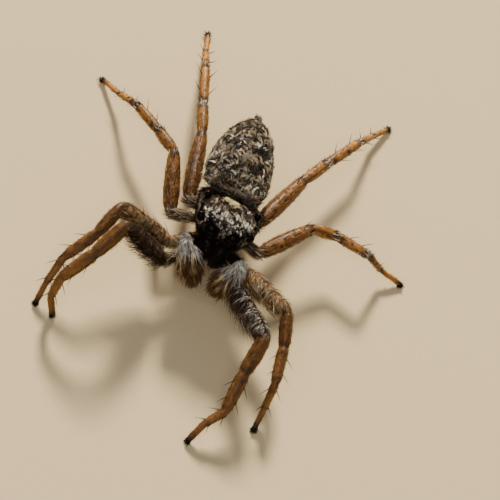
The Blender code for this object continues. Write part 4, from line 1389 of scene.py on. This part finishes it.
def grow_spines(legs, material):
    """Stiff black spines on femora, tibiae and metatarsi."""
    spikes = []
    for limb in legs:
        for segment, places in SPINES.items():
            start, end = limb.ends[segment], limb.ends[segment + 1]
            for share, around, length in places:
                station = int(np.argmin(abs(limb.along - (start + share * (end - start)))))
                along = Vector(limb.tangents[station])
                outward = outward_from(along, around)
                root = Vector(limb.line[station]) + outward * limb.radii[station] * 0.9
                heading = along * math.cos(SPINE_LEAN) + outward * math.sin(SPINE_LEAN)
                spikes.append(taper_points(root, heading, along * 0.12, length))
    link_spikes("spines", spikes, material)


def grow_claws(legs, material):
    """Two curved claws at the tip of each foot."""
    spikes = []
    for limb in legs:
        along = Vector(limb.tangents[-1])
        level = Vector((along.x, along.y, 0)).normalized()
        across = level.cross(UP)
        for sign in (-1, 1):
            root = Vector(limb.line[-1]) + across * CLAW_SPACING * sign + UP * CLAW_SPACING
            heading = (level + UP * 0.25 + across * 0.15 * sign).normalized()
            spikes.append(taper_points(root, heading, UP * -0.55, CLAW_LENGTH))
    link_spikes("claws", spikes, material)


# Eyes and jaws


def build_eyes(material):
    """Eight glossy domes."""
    for name, centre, radius in eye_places():
        deselect()
        facing = eye_facing(centre)
        bpy.ops.mesh.primitive_uv_sphere_add(segments=48, ring_count=28, radius=radius, location=centre,
                                             rotation=facing.to_track_quat("Z", "Y").to_euler())
        bpy.ops.object.transform_apply(location=True, rotation=True, scale=True)
        eye = bpy.context.object
        eye.name = f"{name}_lens"
        bpy.ops.object.shade_smooth()
        eye.data.materials.append(material)
        finish_piece(eye, "eye_lens", name)


def build_jaws(material):
    """Two stout jaws under the face."""
    for side, sign in SIDES.items():
        mirror = Matrix.Diagonal((sign, 1, 1))
        top, foot = mirror @ JAW_TOP, mirror @ JAW_FOOT
        shares = np.linspace(0, 1, 9)
        points = [top.lerp(foot, share) for share in shares]
        jaw = tube_form(f"{side}_jaw", points, jaw_radius(shares), sides=24)
        bpy.ops.object.shade_smooth()
        set_shades(jaw.data, np.tile(JAW_CUTICLE, (len(jaw.data.vertices), 1)))
        jaw.data.materials.append(material)
        finish_piece(jaw, "jaw_cuticle", f"{side}_chelicera")


def flesh_nodes():
    """The CAD nodes that the skin stands for."""
    kept_apart = ("_eye", "_chelicera")
    return [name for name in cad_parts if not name.endswith(kept_apart)]


def dress_skin(skin, surface):
    """Colour the skin, with one cuticle on the body and another on legs and palps."""
    set_shades(skin.data, skin_shades(surface))
    body = cuticle_material("dark_body_cuticle", roughness=0.38, bump_depth=0.01, grain_mm=0.05)
    leg = cuticle_material("amber_leg_cuticle", roughness=0.44, bump_depth=0.014, grain_mm=0.08,
                           subsurface=0.20)
    skin.data.materials.append(body)
    skin.data.materials.append(leg)
    labels = surface.labels[[face.vertices[0] for face in skin.data.polygons]]
    skin.data.polygons.foreach_set("material_index", (labels >= len(BODY_PARTS)).astype(np.int32))
    finish_piece(skin, "leg_cuticle", *flesh_nodes())


def main():
    """Build every piece."""
    add_camera()
    add_studio()
    limbs = make_limbs()
    legs = [limb for limb in limbs if not limb.is_palp]
    skin, references = build_skin(limbs)
    surface = Surface(skin, references, limbs)
    dress_skin(skin, surface)
    build_eyes(lens_material())
    build_jaws(cuticle_material("brown_jaw_cuticle", roughness=0.28, bump_depth=0.006, grain_mm=0.05))
    head_hair = hair_material("head_hair", 0.42)
    grow_head_coat(surface, head_hair)
    grow_head_curls(surface, head_hair)
    grow_jaw_coat(head_hair)
    grow_brow_tufts(surface, head_hair)
    abdomen_hair = hair_material("abdomen_scale_hair", 0.40)
    grow_abdomen_coat(surface, abdomen_hair)
    grow_abdomen_curls(surface, abdomen_hair)
    grow_under_coat(surface, hair_material("underside_hair", 0.5))
    palp_hair = hair_material("palp_brush_hair", 0.48)
    leg_hair = hair_material("leg_hair", 0.42)
    for limb in limbs:
        if limb.is_palp:
            grow_palp_coat(surface, limb, palp_hair)
        else:
            grow_leg_coat(surface, limb, leg_hair)
    grow_toe_tufts(legs, leg_hair)
    spike = cuticle_material("black_spine_cuticle", roughness=0.30, bump_depth=0.002, grain_mm=0.03)
    grow_spines(legs, spike)
    grow_claws(legs, spike)


main()
